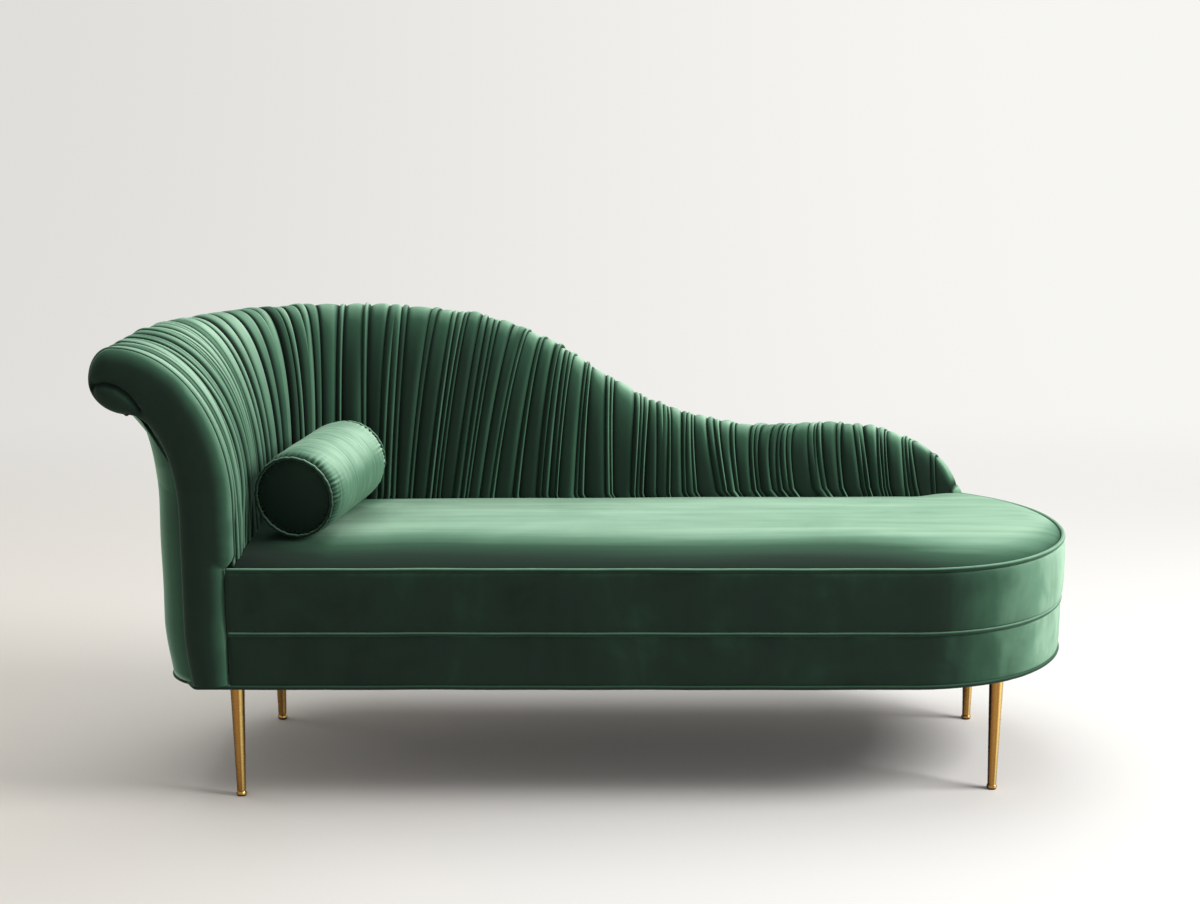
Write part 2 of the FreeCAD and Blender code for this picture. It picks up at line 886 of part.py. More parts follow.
def make_leg_plates():
    plates = []
    for name, (x, y) in leg_places.items():
        bottom = leg_height
        top = bottom + plate_thickness
        plate = upright(x, y, plate_radius, bottom, top)
        plate = plate.cut(upright(x, y, stud_radius, bottom - 1, top + 1))
        for sx, sy in leg_screw_places(name):
            plate = plate.cut(upright(sx, sy, screw_radius, bottom - 1, top + 1))
        plates.append(plate)
    return Part.makeCompound(plates)


def make_leg_studs():
    studs = []
    for x, y in leg_places.values():
        studs.append(upright(x, y, stud_radius, leg_height - stud_length_down, rail_bottom + stud_length_up))
    return Part.makeCompound(studs)


def make_leg_screws():
    screws = []
    for name in leg_places:
        for x, y in leg_screw_places(name):
            shank = upright(x, y, screw_radius, leg_height, screw_end)
            head = upright(x, y, screw_head_radius, leg_height - screw_head_height, leg_height)
            screws.append(shank.fuse(head))
    return Part.makeCompound(screws)


def cut_dust_cover_holes(cover):
    below = rail_bottom - 2 * dust_cover_thickness
    for name, (x, y) in leg_places.items():
        cover = cover.cut(upright(x, y, stud_radius + 0.5, below, rail_bottom + 1))
        for sx, sy in leg_screw_places(name):
            cover = cover.cut(upright(sx, sy, screw_radius, below, rail_bottom + 1))
    return cover


def bottom_welt_edges():
    """Plan lines of the cord that closes the bottom, at the front and foot, and at the back."""
    z = skirt_bottom - welt_radius - 0.4
    tuck = skirt_taper + 1.5
    radius = foot_radius - tuck_in
    bow_x = head_x + head_back_radius
    bow_y = back_y - head_back_radius
    meet = 90 - tail_turn
    front_run = [line(Vector(arm_x - facing_width + 8, front_y + tuck_in, z),
                      Vector(foot_x, front_y + tuck_in, z)),
                 plan_arc(foot_x, foot_y, radius, -90, 0, z),
                 plan_arc(foot_x, foot_y, radius, 0, meet - 1, z)]
    back_run = [plan_arc(foot_x, foot_y, foot_radius - tuck, meet + 0.5, 90, z),
                line(Vector(foot_x, back_y - tuck, z), Vector(bow_x, back_y - tuck, z)),
                plan_arc(bow_x, bow_y, head_back_radius - tuck, 90, 180, z),
                line(Vector(head_x + tuck, bow_y, z), Vector(head_x + tuck, head_front_y, z)),
                plan_arc(head_x + head_front_radius, head_front_y, head_front_radius - tuck,
                         180, corner_end - 12, z)]
    return front_run, back_run


def bolster_turned(outline):
    """Solid turned about the bolster's axis from (radius, distance) edges at its near end."""
    face = Part.Face(Part.Wire(outline))
    solid = face.revolve(Vector(0, 0, 0), Vector(0, 0, 1), 360)
    axis = bolster_far - bolster_near
    solid.Placement = FreeCAD.Placement(bolster_near, FreeCAD.Rotation(Vector(0, 0, 1), axis))
    return solid


bolster_length = (bolster_far - bolster_near).Length


def barrel_edges(radius, end_radius, first, last):
    """Crowned side of the bolster, drawn in at its ends, closed through the axis."""
    middle = (first + last) / 2
    near = Vector(end_radius, 0, first)
    far = Vector(end_radius, 0, last)
    return [arc(near, Vector(radius, 0, middle), far), line(far, Vector(0, 0, last)),
            line(Vector(0, 0, last), Vector(0, 0, first)), line(Vector(0, 0, first), near)]


def make_bolster_core():
    inner = bolster_radius - cover_thickness - 0.4
    inside = bolster_seam + 0.5
    return bolster_turned(barrel_edges(inner, inner - bolster_crown, inside, bolster_length - inside))


def make_bolster_cover():
    rim = bolster_radius - bolster_crown
    outer = bolster_turned(barrel_edges(bolster_radius, rim, 0, bolster_length))
    inner = bolster_radius - cover_thickness
    hollow = bolster_turned(barrel_edges(inner, inner - bolster_crown, -1, bolster_length + 1))
    return outer.cut(hollow)


def make_bolster_end(at_near):
    """End panel, domed as a cap of a large ball."""
    rim = bolster_radius - cover_thickness - bolster_crown - 0.6
    face_at = bolster_seam if at_near else bolster_length - bolster_seam
    way = -1 if at_near else 1
    ball_radius = (rim ** 2 + end_dome ** 2) / (2 * end_dome)
    ball_at = face_at + way * (end_dome - ball_radius)
    half_turn = math.asin(rim / ball_radius) / 2
    seam = Vector(rim, 0, face_at)
    middle = Vector(ball_radius * math.sin(half_turn), 0, ball_at + way * ball_radius * math.cos(half_turn))
    top = Vector(0, 0, face_at + way * end_dome)
    foot = Vector(0, 0, face_at)
    return bolster_turned([line(foot, seam), arc(seam, middle, top), line(top, foot)])


def make_bolster_welt(at_near):
    beside = small_welt_radius + 0.2
    centre = -beside if at_near else bolster_length + beside
    ring = Part.makeTorus(bolster_radius - bolster_crown, small_welt_radius)
    axis = bolster_far - bolster_near
    turned = FreeCAD.Rotation(Vector(0, 0, 1), axis)
    ring.Placement = FreeCAD.Placement(bolster_near + turned.multVec(Vector(0, 0, centre)), turned)
    return ring


def facing_welt_edges():
    """Cord round the arm's front panel, up the inner sweep and over the scroll."""
    edges = facing_edges(1.5)
    upper = [edge.copy() for edge in edges[2:7]]
    for edge in upper:
        edge.translate(Vector(0, facing_back - small_welt_radius - 0.2, 0))
    return upper


welt_front, welt_back = bottom_welt_edges()
parts = {
    "front_rail": drilled(make_front_rail()),
    "back_rail": make_back_rail(),
    "head_rail": make_head_rail(),
    "foot_bow": drilled(make_foot_bow()),
    "foot_bow_back": make_foot_bow_back(),
    "head_bow": make_head_bow(),
    "cross_rails": make_cross_rails(),
    "spring_rail": make_spring_rail(),
    "leg_blocks": make_leg_blocks(),
    "leg_plates": make_leg_plates(),
    "leg_studs": make_leg_studs(),
    "leg_screws": make_leg_screws(),
    "springs": make_springs(),
    "spring_clips": make_spring_clips(),
    "spring_ties": make_spring_ties(),
    "deck_cloth": make_deck_cloth(),
    "dust_cover": cut_dust_cover_holes(make_dust_cover()),
    "seat_foam": make_seat_foam(),
    "seat_top": make_seat_top(),
    "upper_band": make_band([(mid_welt_height + 5, 2), (band_middle, -3), (seat_edge_height - 6.5, 0)]),
    "lower_band": make_band([(skirt_bottom, 3), (mid_welt_height - 5, 3)]),
    "top_welt": make_welt(band_edges(2, seat_edge_height - 2), welt_radius),
    "mid_welt": make_welt(band_edges(3, mid_welt_height), welt_radius),
    "bottom_welt_front": make_welt(welt_front, welt_radius),
    "bottom_welt_back": make_welt(welt_back, welt_radius),
    "back_ribs": make_back_ribs(),
    "crest_rails": make_bay_rails(crest_rail_place, crest_rail_width),
    "waist_rails": make_bay_rails(waist_rail_place, waist_rail_width),
    "back_foam": make_back_foam(),
    "pleated_cover": make_pleated_cover(),
    "outside_panel": make_outside_panel(),
    "outside_cover": make_outside_cover(),
    "hem_welt": make_hem_welt(),
    "facing_board": make_facing_board(),
    "facing_pad": make_facing_pad(),
    "facing_cover": make_facing_cover(),
    "facing_welt": make_welt(facing_welt_edges(), small_welt_radius),
    "bolster_core": make_bolster_core(),
    "bolster_cover": make_bolster_cover(),
    "bolster_end_near": make_bolster_end(True),
    "bolster_end_far": make_bolster_end(False),
    "bolster_welt_near": make_bolster_welt(True),
    "bolster_welt_far": make_bolster_welt(False),
}
for name in leg_places:
    parts["leg_" + name] = make_leg(name)
    parts["tip_" + name] = make_leg_tip(name)
    parts["glide_" + name] = make_glide(name)

for name, shape in parts.items():
    bounds = shape.BoundBox
    print(name, "valid" if shape.isValid() else "NOT VALID", len(shape.Solids), "solids",
          round(shape.Volume), "mm3, x", round(bounds.XMin), round(bounds.XMax),
          "y", round(bounds.YMin), round(bounds.YMax), "z", round(bounds.ZMin), round(bounds.ZMax))
    shape.exportStep("parts/" + name + ".step")
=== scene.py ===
import math
import random

import bmesh
import bpy
import numpy as np
from mathutils import Matrix, Vector


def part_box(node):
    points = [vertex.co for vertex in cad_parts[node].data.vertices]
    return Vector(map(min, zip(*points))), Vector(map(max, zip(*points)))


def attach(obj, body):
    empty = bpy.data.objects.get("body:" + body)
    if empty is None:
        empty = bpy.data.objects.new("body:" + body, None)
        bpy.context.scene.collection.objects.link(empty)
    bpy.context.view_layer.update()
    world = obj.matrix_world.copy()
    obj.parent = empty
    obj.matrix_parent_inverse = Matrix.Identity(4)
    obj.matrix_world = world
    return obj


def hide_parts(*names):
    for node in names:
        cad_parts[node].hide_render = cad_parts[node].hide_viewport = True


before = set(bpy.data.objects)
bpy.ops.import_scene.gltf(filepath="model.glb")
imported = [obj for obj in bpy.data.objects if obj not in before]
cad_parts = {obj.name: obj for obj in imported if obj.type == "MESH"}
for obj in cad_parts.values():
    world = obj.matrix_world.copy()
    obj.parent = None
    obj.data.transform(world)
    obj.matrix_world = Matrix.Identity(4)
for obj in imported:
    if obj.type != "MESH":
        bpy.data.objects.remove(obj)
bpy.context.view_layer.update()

# The chaise stands on the floor with its scrolled head at -X, its rounded foot at +X and its front at -Y.

plan = {
    "frontY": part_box("lower_band")[0][1] - 0.003,
    "backY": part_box("outside_cover")[1][1],
    "headX": -0.797,
    "footX": 0.582,
    "frontCorner": 0.098,        # radius of the base at the head's front
    "frontCornerDepth": 0.106,   # where that corner ends, behind the front
    "backCorner": 0.330,         # radius of the base at the head's back
    "armX": -0.650,
    "armRun": 0.300,
    "nookRadius": 0.190,
    "backRise": 0.057,           # how far the back's foot line slants over its length
    "tailTurn": 33,
    "tailLength": 0.172,
    "facingWidth": 0.094,
}
plan["footRadius"] = (plan["backY"] - plan["frontY"]) / 2
plan["footY"] = (plan["backY"] + plan["frontY"]) / 2
plan["nookX"] = plan["armX"] + plan["nookRadius"]
plan["nookY"] = plan["frontY"] + plan["armRun"]

# Section of the arm and back by distance along the foot of the pleats, in metres
section = {
    "crestOut": [(0, .200), (.186, .189), (.300, .165), (.375, .136), (.449, .108), (.524, .088),
                 (.598, .076), (.820, .067), (1.064, .056), (1.394, .041), (1.640, .037), (1.8125, .009)],
    "crestHeight": [(0, .845), (.300, .845), (.598, .844), (.657, .841), (.738, .835), (.820, .822),
                    (.901, .798), (.982, .758), (1.064, .706), (1.146, .657), (1.228, .624),
                    (1.311, .603), (1.394, .594), (1.558, .596), (1.642, .584), (1.685, .570),
                    (1.725, .552), (1.770, .520), (1.800, .474), (1.8125, .438)],
    "rollReach": [(0, .241), (.186, .228), (.300, .205), (.375, .184), (.449, .168), (.524, .156),
                  (.598, .148), (.820, .133), (1.064, .112), (1.394, .085), (1.640, .075), (1.8125, .019)],
    "rollDrop": [(0, .059), (.186, .056), (.598, .050), (.820, .046), (1.064, .042), (1.394, .034),
                 (1.640, .029), (1.8125, .009)],
    "curveStart": [(0, .560), (.300, .540), (.598, .470), (1.8125, .470)],
    "wallFoot": 0.330,
    "skirtBottom": 0.2295,
    "skirtTaper": 0.012,
}

# Seat and cords, up here because the back and the facing need their heights
seat = {
    "edgeZ": 0.447,
    "crown": 0.0170,             # rise from the welted edge to the middle
    "softness": 0.030,           # how quickly it rises behind the edge
    "edgeInset": 0.0062,
    "wallGap": 0.002,
    "bottomZ": 0.425,
    "sag": 0.0012,
    "edgeDrop": 0.003,
    "shoulder": 0.0035,
    "shoulderReach": 0.012,
    "backSink": 0.007,
    "sinkReach": 0.07,
    "frontShadeDepth": 0.085,          # how far behind the front the seat is painted in shade
    "frontShadeDarkest": 0.22,
    "footShift": 0.095,          # the painted shade narrows towards the foot
    # painted shadow of the arm and bolster on the seat, at its darkest
    "armShadowDarkest": 0.30,
}

cords = {
    "radius": 0.0041,
    "sides": 12,
    "step": 0.006,
    "topZ": 0.4455,
    "midZ": 0.326,
    "bottomZ": 0.2251,
    # painted shade: the bottom cords are painted darker than the cords above
    "bottomCordShade": 0.6,
    "bottomStart": -0.7230,
    "bottomLead": [(-.7438, -.2817), (-.7410, -.2880), (-.7378, -.2945), (-.7345, -.3005),
                   (-.7312, -.3060), (-.7276, -.3105)],
}


def smoothStep(low, high, value):
    part = np.clip((value - low) / (high - low), 0, 1)
    return part * part * (3 - 2 * part)


def curveThrough(entries, places):
    # smooth curve through a table's entries
    at, value = np.array(entries).T
    slope = np.empty_like(value)
    slope[1:-1] = (value[2:] - value[:-2]) / (at[2:] - at[:-2])
    slope[0] = (value[1] - value[0]) / (at[1] - at[0])
    slope[-1] = (value[-1] - value[-2]) / (at[-1] - at[-2])
    place = np.clip(places, at[0], at[-1])
    i = np.clip(np.searchsorted(at, place) - 1, 0, len(at) - 2)
    span = at[i + 1] - at[i]
    t = (place - at[i]) / span
    rise = (2 * t ** 3 - 3 * t ** 2 + 1) * value[i] + (3 * t ** 2 - 2 * t ** 3) * value[i + 1]
    bend = (t ** 3 - 2 * t ** 2 + t) * slope[i] + (t ** 3 - t ** 2) * slope[i + 1]
    return rise + bend * span


def insidePlan(x, y):
    cornerX = plan["headX"] + plan["backCorner"]
    cornerY = plan["backY"] - plan["backCorner"]
    frontX = plan["headX"] + plan["frontCorner"]
    frontY = plan["frontY"] + plan["frontCornerDepth"]
    inside = (x > plan["headX"]) & (y > plan["frontY"]) & (y < plan["backY"])
    footOut = np.hypot(x - plan["footX"], y - plan["footY"]) > plan["footRadius"]
    backOut = np.hypot(x - cornerX, y - cornerY) > plan["backCorner"]
    frontOut = np.hypot(x - frontX, y - frontY) > plan["frontCorner"]
    inside &= ~((x > plan["footX"]) & footOut)
    inside &= ~((x < cornerX) & (y > cornerY) & backOut)
    inside &= ~((x < frontX) & (y < frontY) & frontOut)
    return inside


def measureWall():
    # the wall's plan line and section, read off every millimetre
    nookLength = plan["nookRadius"] * math.pi / 2
    backStart = plan["armRun"] + nookLength
    tailStart = backStart + plan["footX"] - plan["nookX"]
    end = tailStart + plan["tailLength"]
    along = np.linspace(0, end, 1 + round(end * 1000))
    lineStart = plan["nookY"] + plan["nookRadius"]
    slope = plan["backRise"] / (plan["footX"] - plan["nookX"])
    nookTurn = math.pi - (along - plan["armRun"]) / plan["nookRadius"]
    tailPart = np.clip((along - tailStart) / plan["tailLength"], 0, 1)
    tailAngle = np.radians(90 - tailPart * plan["tailTurn"])
    lineEnd = lineStart + plan["backRise"]
    reach = (lineEnd - plan["footY"]) / (np.sin(tailAngle) - slope * np.cos(tailAngle))
    backX = plan["nookX"] + along - backStart
    parts = [along < plan["armRun"], along < backStart, along < tailStart]
    turn = np.select(parts, [math.pi + 0 * along, nookTurn, math.pi / 2 + 0 * along], tailAngle)
    x = np.select(parts, [plan["armX"] + 0 * along, plan["nookX"] + plan["nookRadius"] * np.cos(nookTurn),
                          backX], plan["footX"] + reach * np.cos(tailAngle))
    y = np.select(parts, [plan["frontY"] + along, plan["nookY"] + plan["nookRadius"] * np.sin(nookTurn),
                          lineStart + (backX - plan["nookX"]) * slope],
                  plan["footY"] + reach * np.sin(tailAngle))
    low = np.zeros_like(along)
    high = np.full_like(along, 0.4)
    for halving in range(30):
        middle = (low + high) / 2
        inside = insidePlan(x + middle * np.cos(turn), y + middle * np.sin(turn))
        low = np.where(inside, middle, low)
        high = np.where(inside, high, middle)
    line = {"along": along, "x": x, "y": y, "turn": turn, "thickness": low, "end": end,
            "tailStart": tailStart, "backStart": backStart}
    for name in ("crestOut", "crestHeight", "rollReach", "rollDrop", "curveStart"):
        line[name] = curveThrough(section[name], along)
    return line


wall = measureWall()


def readWall(name, along):
    return np.interp(along, wall["along"], wall[name])


def wallShape(along, inset, thickness=None):
    # named measures of the wall's section at places along it
    crestN = readWall("crestOut", along)
    crestZ = readWall("crestHeight", along)
    drop = readWall("rollDrop", along)
    thick = readWall("thickness", along) if thickness is None else thickness
    reach = np.maximum(readWall("rollReach", along), thick + 0.001)
    shape = {"crestN": crestN, "crestZ": crestZ, "drop": drop, "thick": thick, "reach": reach}
    shape["startZ"] = np.minimum(readWall("curveStart", along), crestZ - 1.4 * drop)
    shape["hemN"] = thick + 0.55 * (reach - thick)
    shape["hemZ"] = crestZ - 1.96 * drop
    shape["flareZ"] = shape["hemZ"] - 3.2 * drop
    undercut = np.minimum(1.0, (reach - shape["hemN"]) / drop)
    shape["innerHemN"] = shape["hemN"] - inset * (1 - undercut)
    shape["innerHemZ"] = shape["hemZ"] + inset * undercut * 0.6
    return shape


def placeOut(along, n, z):
    # point at a distance out from the foot of the pleats
    turn = readWall("turn", along)
    x = readWall("x", along) + n * np.cos(turn)
    y = readWall("y", along) + n * np.sin(turn)
    return np.stack([x, y, z + 0 * x], axis=-1)


def liningOutline(along, stage, inset, bottom, thickness=None):
    # stage 0 to 1 upright, 1 to 2 up to the crest, 2 to 3 over the roll, 3 to 4 under it to the hem
    shape = wallShape(along, inset, thickness)
    rollZ = shape["crestZ"] - shape["drop"]
    upright = np.clip(stage, 0, 1)
    climb = np.radians(np.clip(stage - 1, 0, 1) * 90)
    roll = np.radians((1 - np.clip(stage - 2, 0, 1)) * 90)
    under = np.radians(np.clip(stage - 3, 0, 1) * 90)
    n1 = inset + 0 * shape["crestN"]
    z1 = bottom + (shape["startZ"] - bottom) * upright
    n2 = shape["crestN"] - (shape["crestN"] - inset) * np.cos(climb)
    z2 = shape["startZ"] + (shape["crestZ"] - inset - shape["startZ"]) * np.sin(climb)
    n3 = shape["crestN"] + (shape["reach"] - inset - shape["crestN"]) * np.cos(roll)
    z3 = rollZ + (shape["drop"] - inset) * np.sin(roll)
    n4 = shape["innerHemN"] + (shape["reach"] - inset - shape["innerHemN"]) * np.cos(under)
    z4 = rollZ - (rollZ - shape["innerHemZ"]) * np.sin(under)
    parts = [stage <= 1, stage <= 2, stage <= 3]
    return np.select(parts, [n1, n2, n3], n4), np.select(parts, [z1, z2, z3], z4)


def liningSurface(along, stage, inset, bottom):
    n, z = liningOutline(along, stage, inset, bottom)
    return placeOut(along, n, z)


def panelOutline(along, stage, inset, thickness=None):
    # stage 0 to 1 down the flare, 1 to 2 down to the rail, 2 to 3 down the skirt
    shape = wallShape(along, 0, thickness)
    hemZ = shape["hemZ"] - 0.002
    flare = np.radians((1 - np.clip(stage, 0, 1)) * 90)
    drop = np.clip(stage - 1, 0, 1)
    skirt = np.clip(stage - 2, 0, 1)
    n1 = shape["thick"] - inset + (shape["hemN"] - shape["thick"]) * (1 - np.cos(flare))
    z1 = shape["flareZ"] + (hemZ - shape["flareZ"]) * np.sin(flare)
    z2 = shape["flareZ"] + (section["wallFoot"] - shape["flareZ"]) * drop
    z3 = section["wallFoot"] + (section["skirtBottom"] - section["wallFoot"]) * skirt
    n3 = shape["thick"] - inset - section["skirtTaper"] * skirt ** 1.6
    return (np.select([stage <= 1, stage <= 2], [n1, shape["thick"] - inset], n3),
            np.select([stage <= 1, stage <= 2], [z1, z2], z3))


def surfaceNormal(surface, along, stage):
    # outward normals from small steps along the surface
    step = 0.002
    small = 0.01
    ahead = surface(along + step, stage) - surface(along - step, stage)
    up = surface(along, stage + small) - surface(along, stage - small)
    normal = np.cross(ahead, up)
    length = np.linalg.norm(normal, axis=-1, keepdims=True)
    return normal / np.maximum(length, 1e-9)


def arcPoints(x, y, radius, start, end, count):
    # points round a centre, by angles in degrees
    swing = np.radians(np.linspace(start, end, count))
    return list(zip(x + radius * np.cos(swing), y + radius * np.sin(swing)))


def ripple(points, scale, seed):
    # smooth wavering between about -1 and 1
    rng = random.Random(seed)
    total = np.zeros(points.shape[:-1])
    for wave in range(6):
        turn = [rng.uniform(-1, 1) for axis in range(3)]
        total += np.sin(points @ np.array(turn) * scale * (1 + 0.35 * wave) + rng.uniform(0, 6.28))
    return total / 3


def gridFaces(rows, columns, wrapRows=False, wrapColumns=False):
    r = np.arange(rows if wrapRows else rows - 1)
    c = np.arange(columns if wrapColumns else columns - 1)
    rr, cc = np.meshgrid(r, c, indexing="ij")
    nextR = (rr + 1) % rows
    nextC = (cc + 1) % columns
    quads = np.stack([rr * columns + cc, rr * columns + nextC, nextR * columns + nextC,
                      nextR * columns + cc], axis=-1)
    return quads.reshape(-1, 4).tolist()


def makePiece(name, points, faces, nap=None):
    # one closed piece with its faces turned outwards; the last argument is the painted shade at each point,
    # 1 where none is painted
    mesh = bpy.data.meshes.new(name)
    mesh.from_pydata([tuple(point) for point in points], [], faces)
    paintedShading = np.ones(len(points)) if nap is None else np.clip(nap, 0, 1)
    mesh.attributes.new("nap", "FLOAT", "POINT").data.foreach_set("value", paintedShading.astype(np.float32))
    work = bmesh.new()
    work.from_mesh(mesh)
    bmesh.ops.remove_doubles(work, verts=work.verts, dist=1e-6)
    bmesh.ops.dissolve_degenerate(work, edges=work.edges, dist=1e-7)
    bmesh.ops.recalc_face_normals(work, faces=work.faces)
    for face in work.faces:
        face.smooth = True
    work.to_mesh(mesh)
    work.free()
    piece = bpy.data.objects.new(name, mesh)
    bpy.context.scene.collection.objects.link(piece)
    return piece


def closedLoft(name, rings, nap=None):
    # rings[i][j]: closed rings joined in a row, with a face across each end
    rows, columns = rings.shape[:2]
    faces = gridFaces(rows, columns, wrapColumns=True)
    faces.append(list(range(columns))[::-1])
    faces.append([(rows - 1) * columns + j for j in range(columns)])
    return makePiece(name, rings.reshape(-1, 3), faces, None if nap is None else nap.reshape(-1))


def sweepCord(name, path, radius, across=(0, 0, 1), wobble=0.0, nap=1.0):
    # round cord along a path, across being a direction square to the path's plane
    path = np.array(path, dtype=float)
    ahead = np.gradient(path, axis=0)
    ahead /= np.linalg.norm(ahead, axis=1, keepdims=True)
    upward = np.tile(np.array(across, dtype=float), (len(path), 1))
    sideways = np.cross(ahead, upward)
    sideways /= np.linalg.norm(sideways, axis=1, keepdims=True)
    upward = np.cross(sideways, ahead)
    swing = np.linspace(0, 2 * math.pi, cords["sides"], endpoint=False)
    size = radius * (1 + wobble * ripple(path, 260, 3))
    outward = (np.cos(swing)[None, :, None] * sideways[:, None]
               + np.sin(swing)[None, :, None] * upward[:, None])
    rings = path[:, None] + size[:, None, None] * outward
    return closedLoft(name, rings, np.full(rings.shape[:2], nap))


def finishPiece(piece, material, body, nodes):
    piece.data.materials.clear()
    piece.data.materials.append(material)
    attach(piece, body)
    if nodes:
        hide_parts(*nodes)


# Materials

class Socket:
    # an output of a node, so that shader maths reads as plain sums
    def __init__(self, shader, socket):
        self.shader = shader
        self.socket = socket

    def maths(self, operation, first, second=0.0):
        return self.shader.add("ShaderNodeMath", {"operation": operation}, {0: first, 1: second})

    def __add__(self, other):
        return self.maths("ADD", self, other)

    def __radd__(self, other):
        return self.maths("ADD", other, self)

    def __sub__(self, other):
        return self.maths("SUBTRACT", self, other)

    def __rsub__(self, other):
        return self.maths("SUBTRACT", other, self)

    def __mul__(self, other):
        return self.maths("MULTIPLY", self, other)

    def __rmul__(self, other):
        return self.maths("MULTIPLY", other, self)

    def __pow__(self, other):
        return self.maths("POWER", self, other)


class Shader:
    # the nodes of a material or of the world
    def __init__(self, owner):
        self.owner = owner
        owner.use_nodes = True
        self.tree = owner.node_tree
        self.tree.nodes.clear()

    def add(self, kind, settings=None, values=None, output=0):
        node = self.tree.nodes.new(kind)
        for key, value in (settings or {}).items():
            if key == "stops":
                self.setStops(node.color_ramp, value)
            else:
                setattr(node, key, value)
        for key, value in (values or {}).items():
            if isinstance(value, Socket):
                self.tree.links.new(value.socket, node.inputs[key])
            else:
                node.inputs[key].default_value = value
        return Socket(self, node.outputs[output])

    def setStops(self, ramp, stops):
        while len(ramp.elements) < len(stops):
            ramp.elements.new(0.5)
        for element, (position, color) in zip(ramp.elements, stops):
            element.position = position
            element.color = color

    def place(self, scale=(1, 1, 1)):
        start = self.add("ShaderNodeTexCoord", output="Object")
        return self.add("ShaderNodeMapping", None, {"Vector": start, "Scale": scale})

    def noise(self, place, scale, detail=3.0, rough=0.55, distortion=0.0):
        return self.add("ShaderNodeTexNoise", None,
                        {"Vector": place, "Scale": scale, "Detail": detail, "Roughness": rough,
                         "Distortion": distortion})

    def mixColors(self, factor, first, second):
        node = self.tree.nodes.new("ShaderNodeMix")
        node.data_type = "RGBA"
        for key, value in ((0, factor), (6, first), (7, second)):
            if isinstance(value, Socket):
                self.tree.links.new(value.socket, node.inputs[key])
            else:
                node.inputs[key].default_value = value
        return Socket(self, node.outputs[2])

    def clamp(self, value, low=0.0, high=1.0):
        return self.add("ShaderNodeClamp", None, {"Value": value, "Min": low, "Max": high})

    def ramped(self, value, low, high):
        return self.add("ShaderNodeMapRange", {"interpolation_type": "SMOOTHSTEP"},
                        {"Value": value, "From Min": low, "From Max": high})

    def bump(self, height, strength, distance):
        return self.add("ShaderNodeBump", None,
                        {"Height": height, "Strength": strength, "Distance": distance})

    def part(self, start, axis):
        # one of the three parts of a place or a direction
        return self.add("ShaderNodeSeparateXYZ", None, {"Vector": start}, axis)

    def seen(self):
        # 1 for what the camera, metal or glass sees, and 0 for what lights the object
        rays = ("Is Camera Ray", "Is Glossy Ray", "Is Transmission Ray")
        camera, glossy, through = [self.add("ShaderNodeLightPath", output=ray) for ray in rays]
        return self.clamp(camera + glossy + through)

    def show(self, surface, output="ShaderNodeOutputMaterial"):
        self.tree.links.new(surface.socket, self.tree.nodes.new(output).inputs["Surface"])
        return self.owner

    def finish(self, values):
        return self.show(self.add("ShaderNodeBsdfPrincipled", None, values))


def newShader(name):
    return Shader(bpy.data.materials.new(name))


# tones of the velvet from painted shade at 0 to painted light at 1
velvetShadingTones = [
    (0.00, (.0035, .0072, .0052, 1)), (0.22, (.0105, .0270, .0170, 1)), (0.45, (.0340, .0960, .0560, 1)),
    (0.70, (.1350, .2750, .1820, 1)), (1.00, (.3800, .5900, .4350, 1))]

# base is each velvet's own level; up, side and rim weigh painted light on faces turned up, painted light on
# faces turned towards +X and a painted sheen seen edge-on
velvets = {
    "wallVelvet": {"base": 0.20, "up": 0.56, "side": 0.42, "streaks": (14, 14, 3), "streak": 0.12,
                   "blotch": 0.10, "blotchScale": 7, "rim": 0.10, "sheen": 0.16},
    "facingVelvet": {"base": 0.175, "up": 0.26, "side": 0.36, "streaks": (10, 10, 5), "streak": 0.12,
                     "blotch": 0.18, "blotchScale": 9, "rim": 0.16, "sheen": 0.16},
    "outsideVelvet": {"base": 0.33, "up": 0.40, "side": 0.36, "streaks": (10, 10, 4), "streak": 0.10,
                      "blotch": 0.16, "blotchScale": 7, "rim": 0.60, "sheen": 0.35},
    "seatVelvet": {"base": 0.22, "up": 0.68, "side": 0.10, "streaks": (1.6, 20, 20), "streak": 0.22,
                   "blotch": 0.12, "blotchScale": 4, "rim": 0.0, "sheen": 0.05},
    "bandVelvet": {"base": 0.19, "up": 0.30, "side": 0.68, "streaks": (9, 9, 2.2), "streak": 0.26,
                   "blotch": 0.26, "blotchScale": 7, "rim": 0.10, "sheen": 0.14},
    "bolsterVelvet": {"base": 0.20, "up": 0.54, "side": 0.40, "streaks": (12, 90, 12), "streak": 0.22,
                      "blotch": 0.10, "blotchScale": 12, "rim": 0.12, "sheen": 0.10},
    "cordVelvet": {"base": 0.22, "up": 0.50, "side": 0.24, "streaks": (30, 30, 30), "streak": 0.08,
                   "blotch": 0.06, "blotchScale": 20, "rim": 0.12, "sheen": 0.30},
}


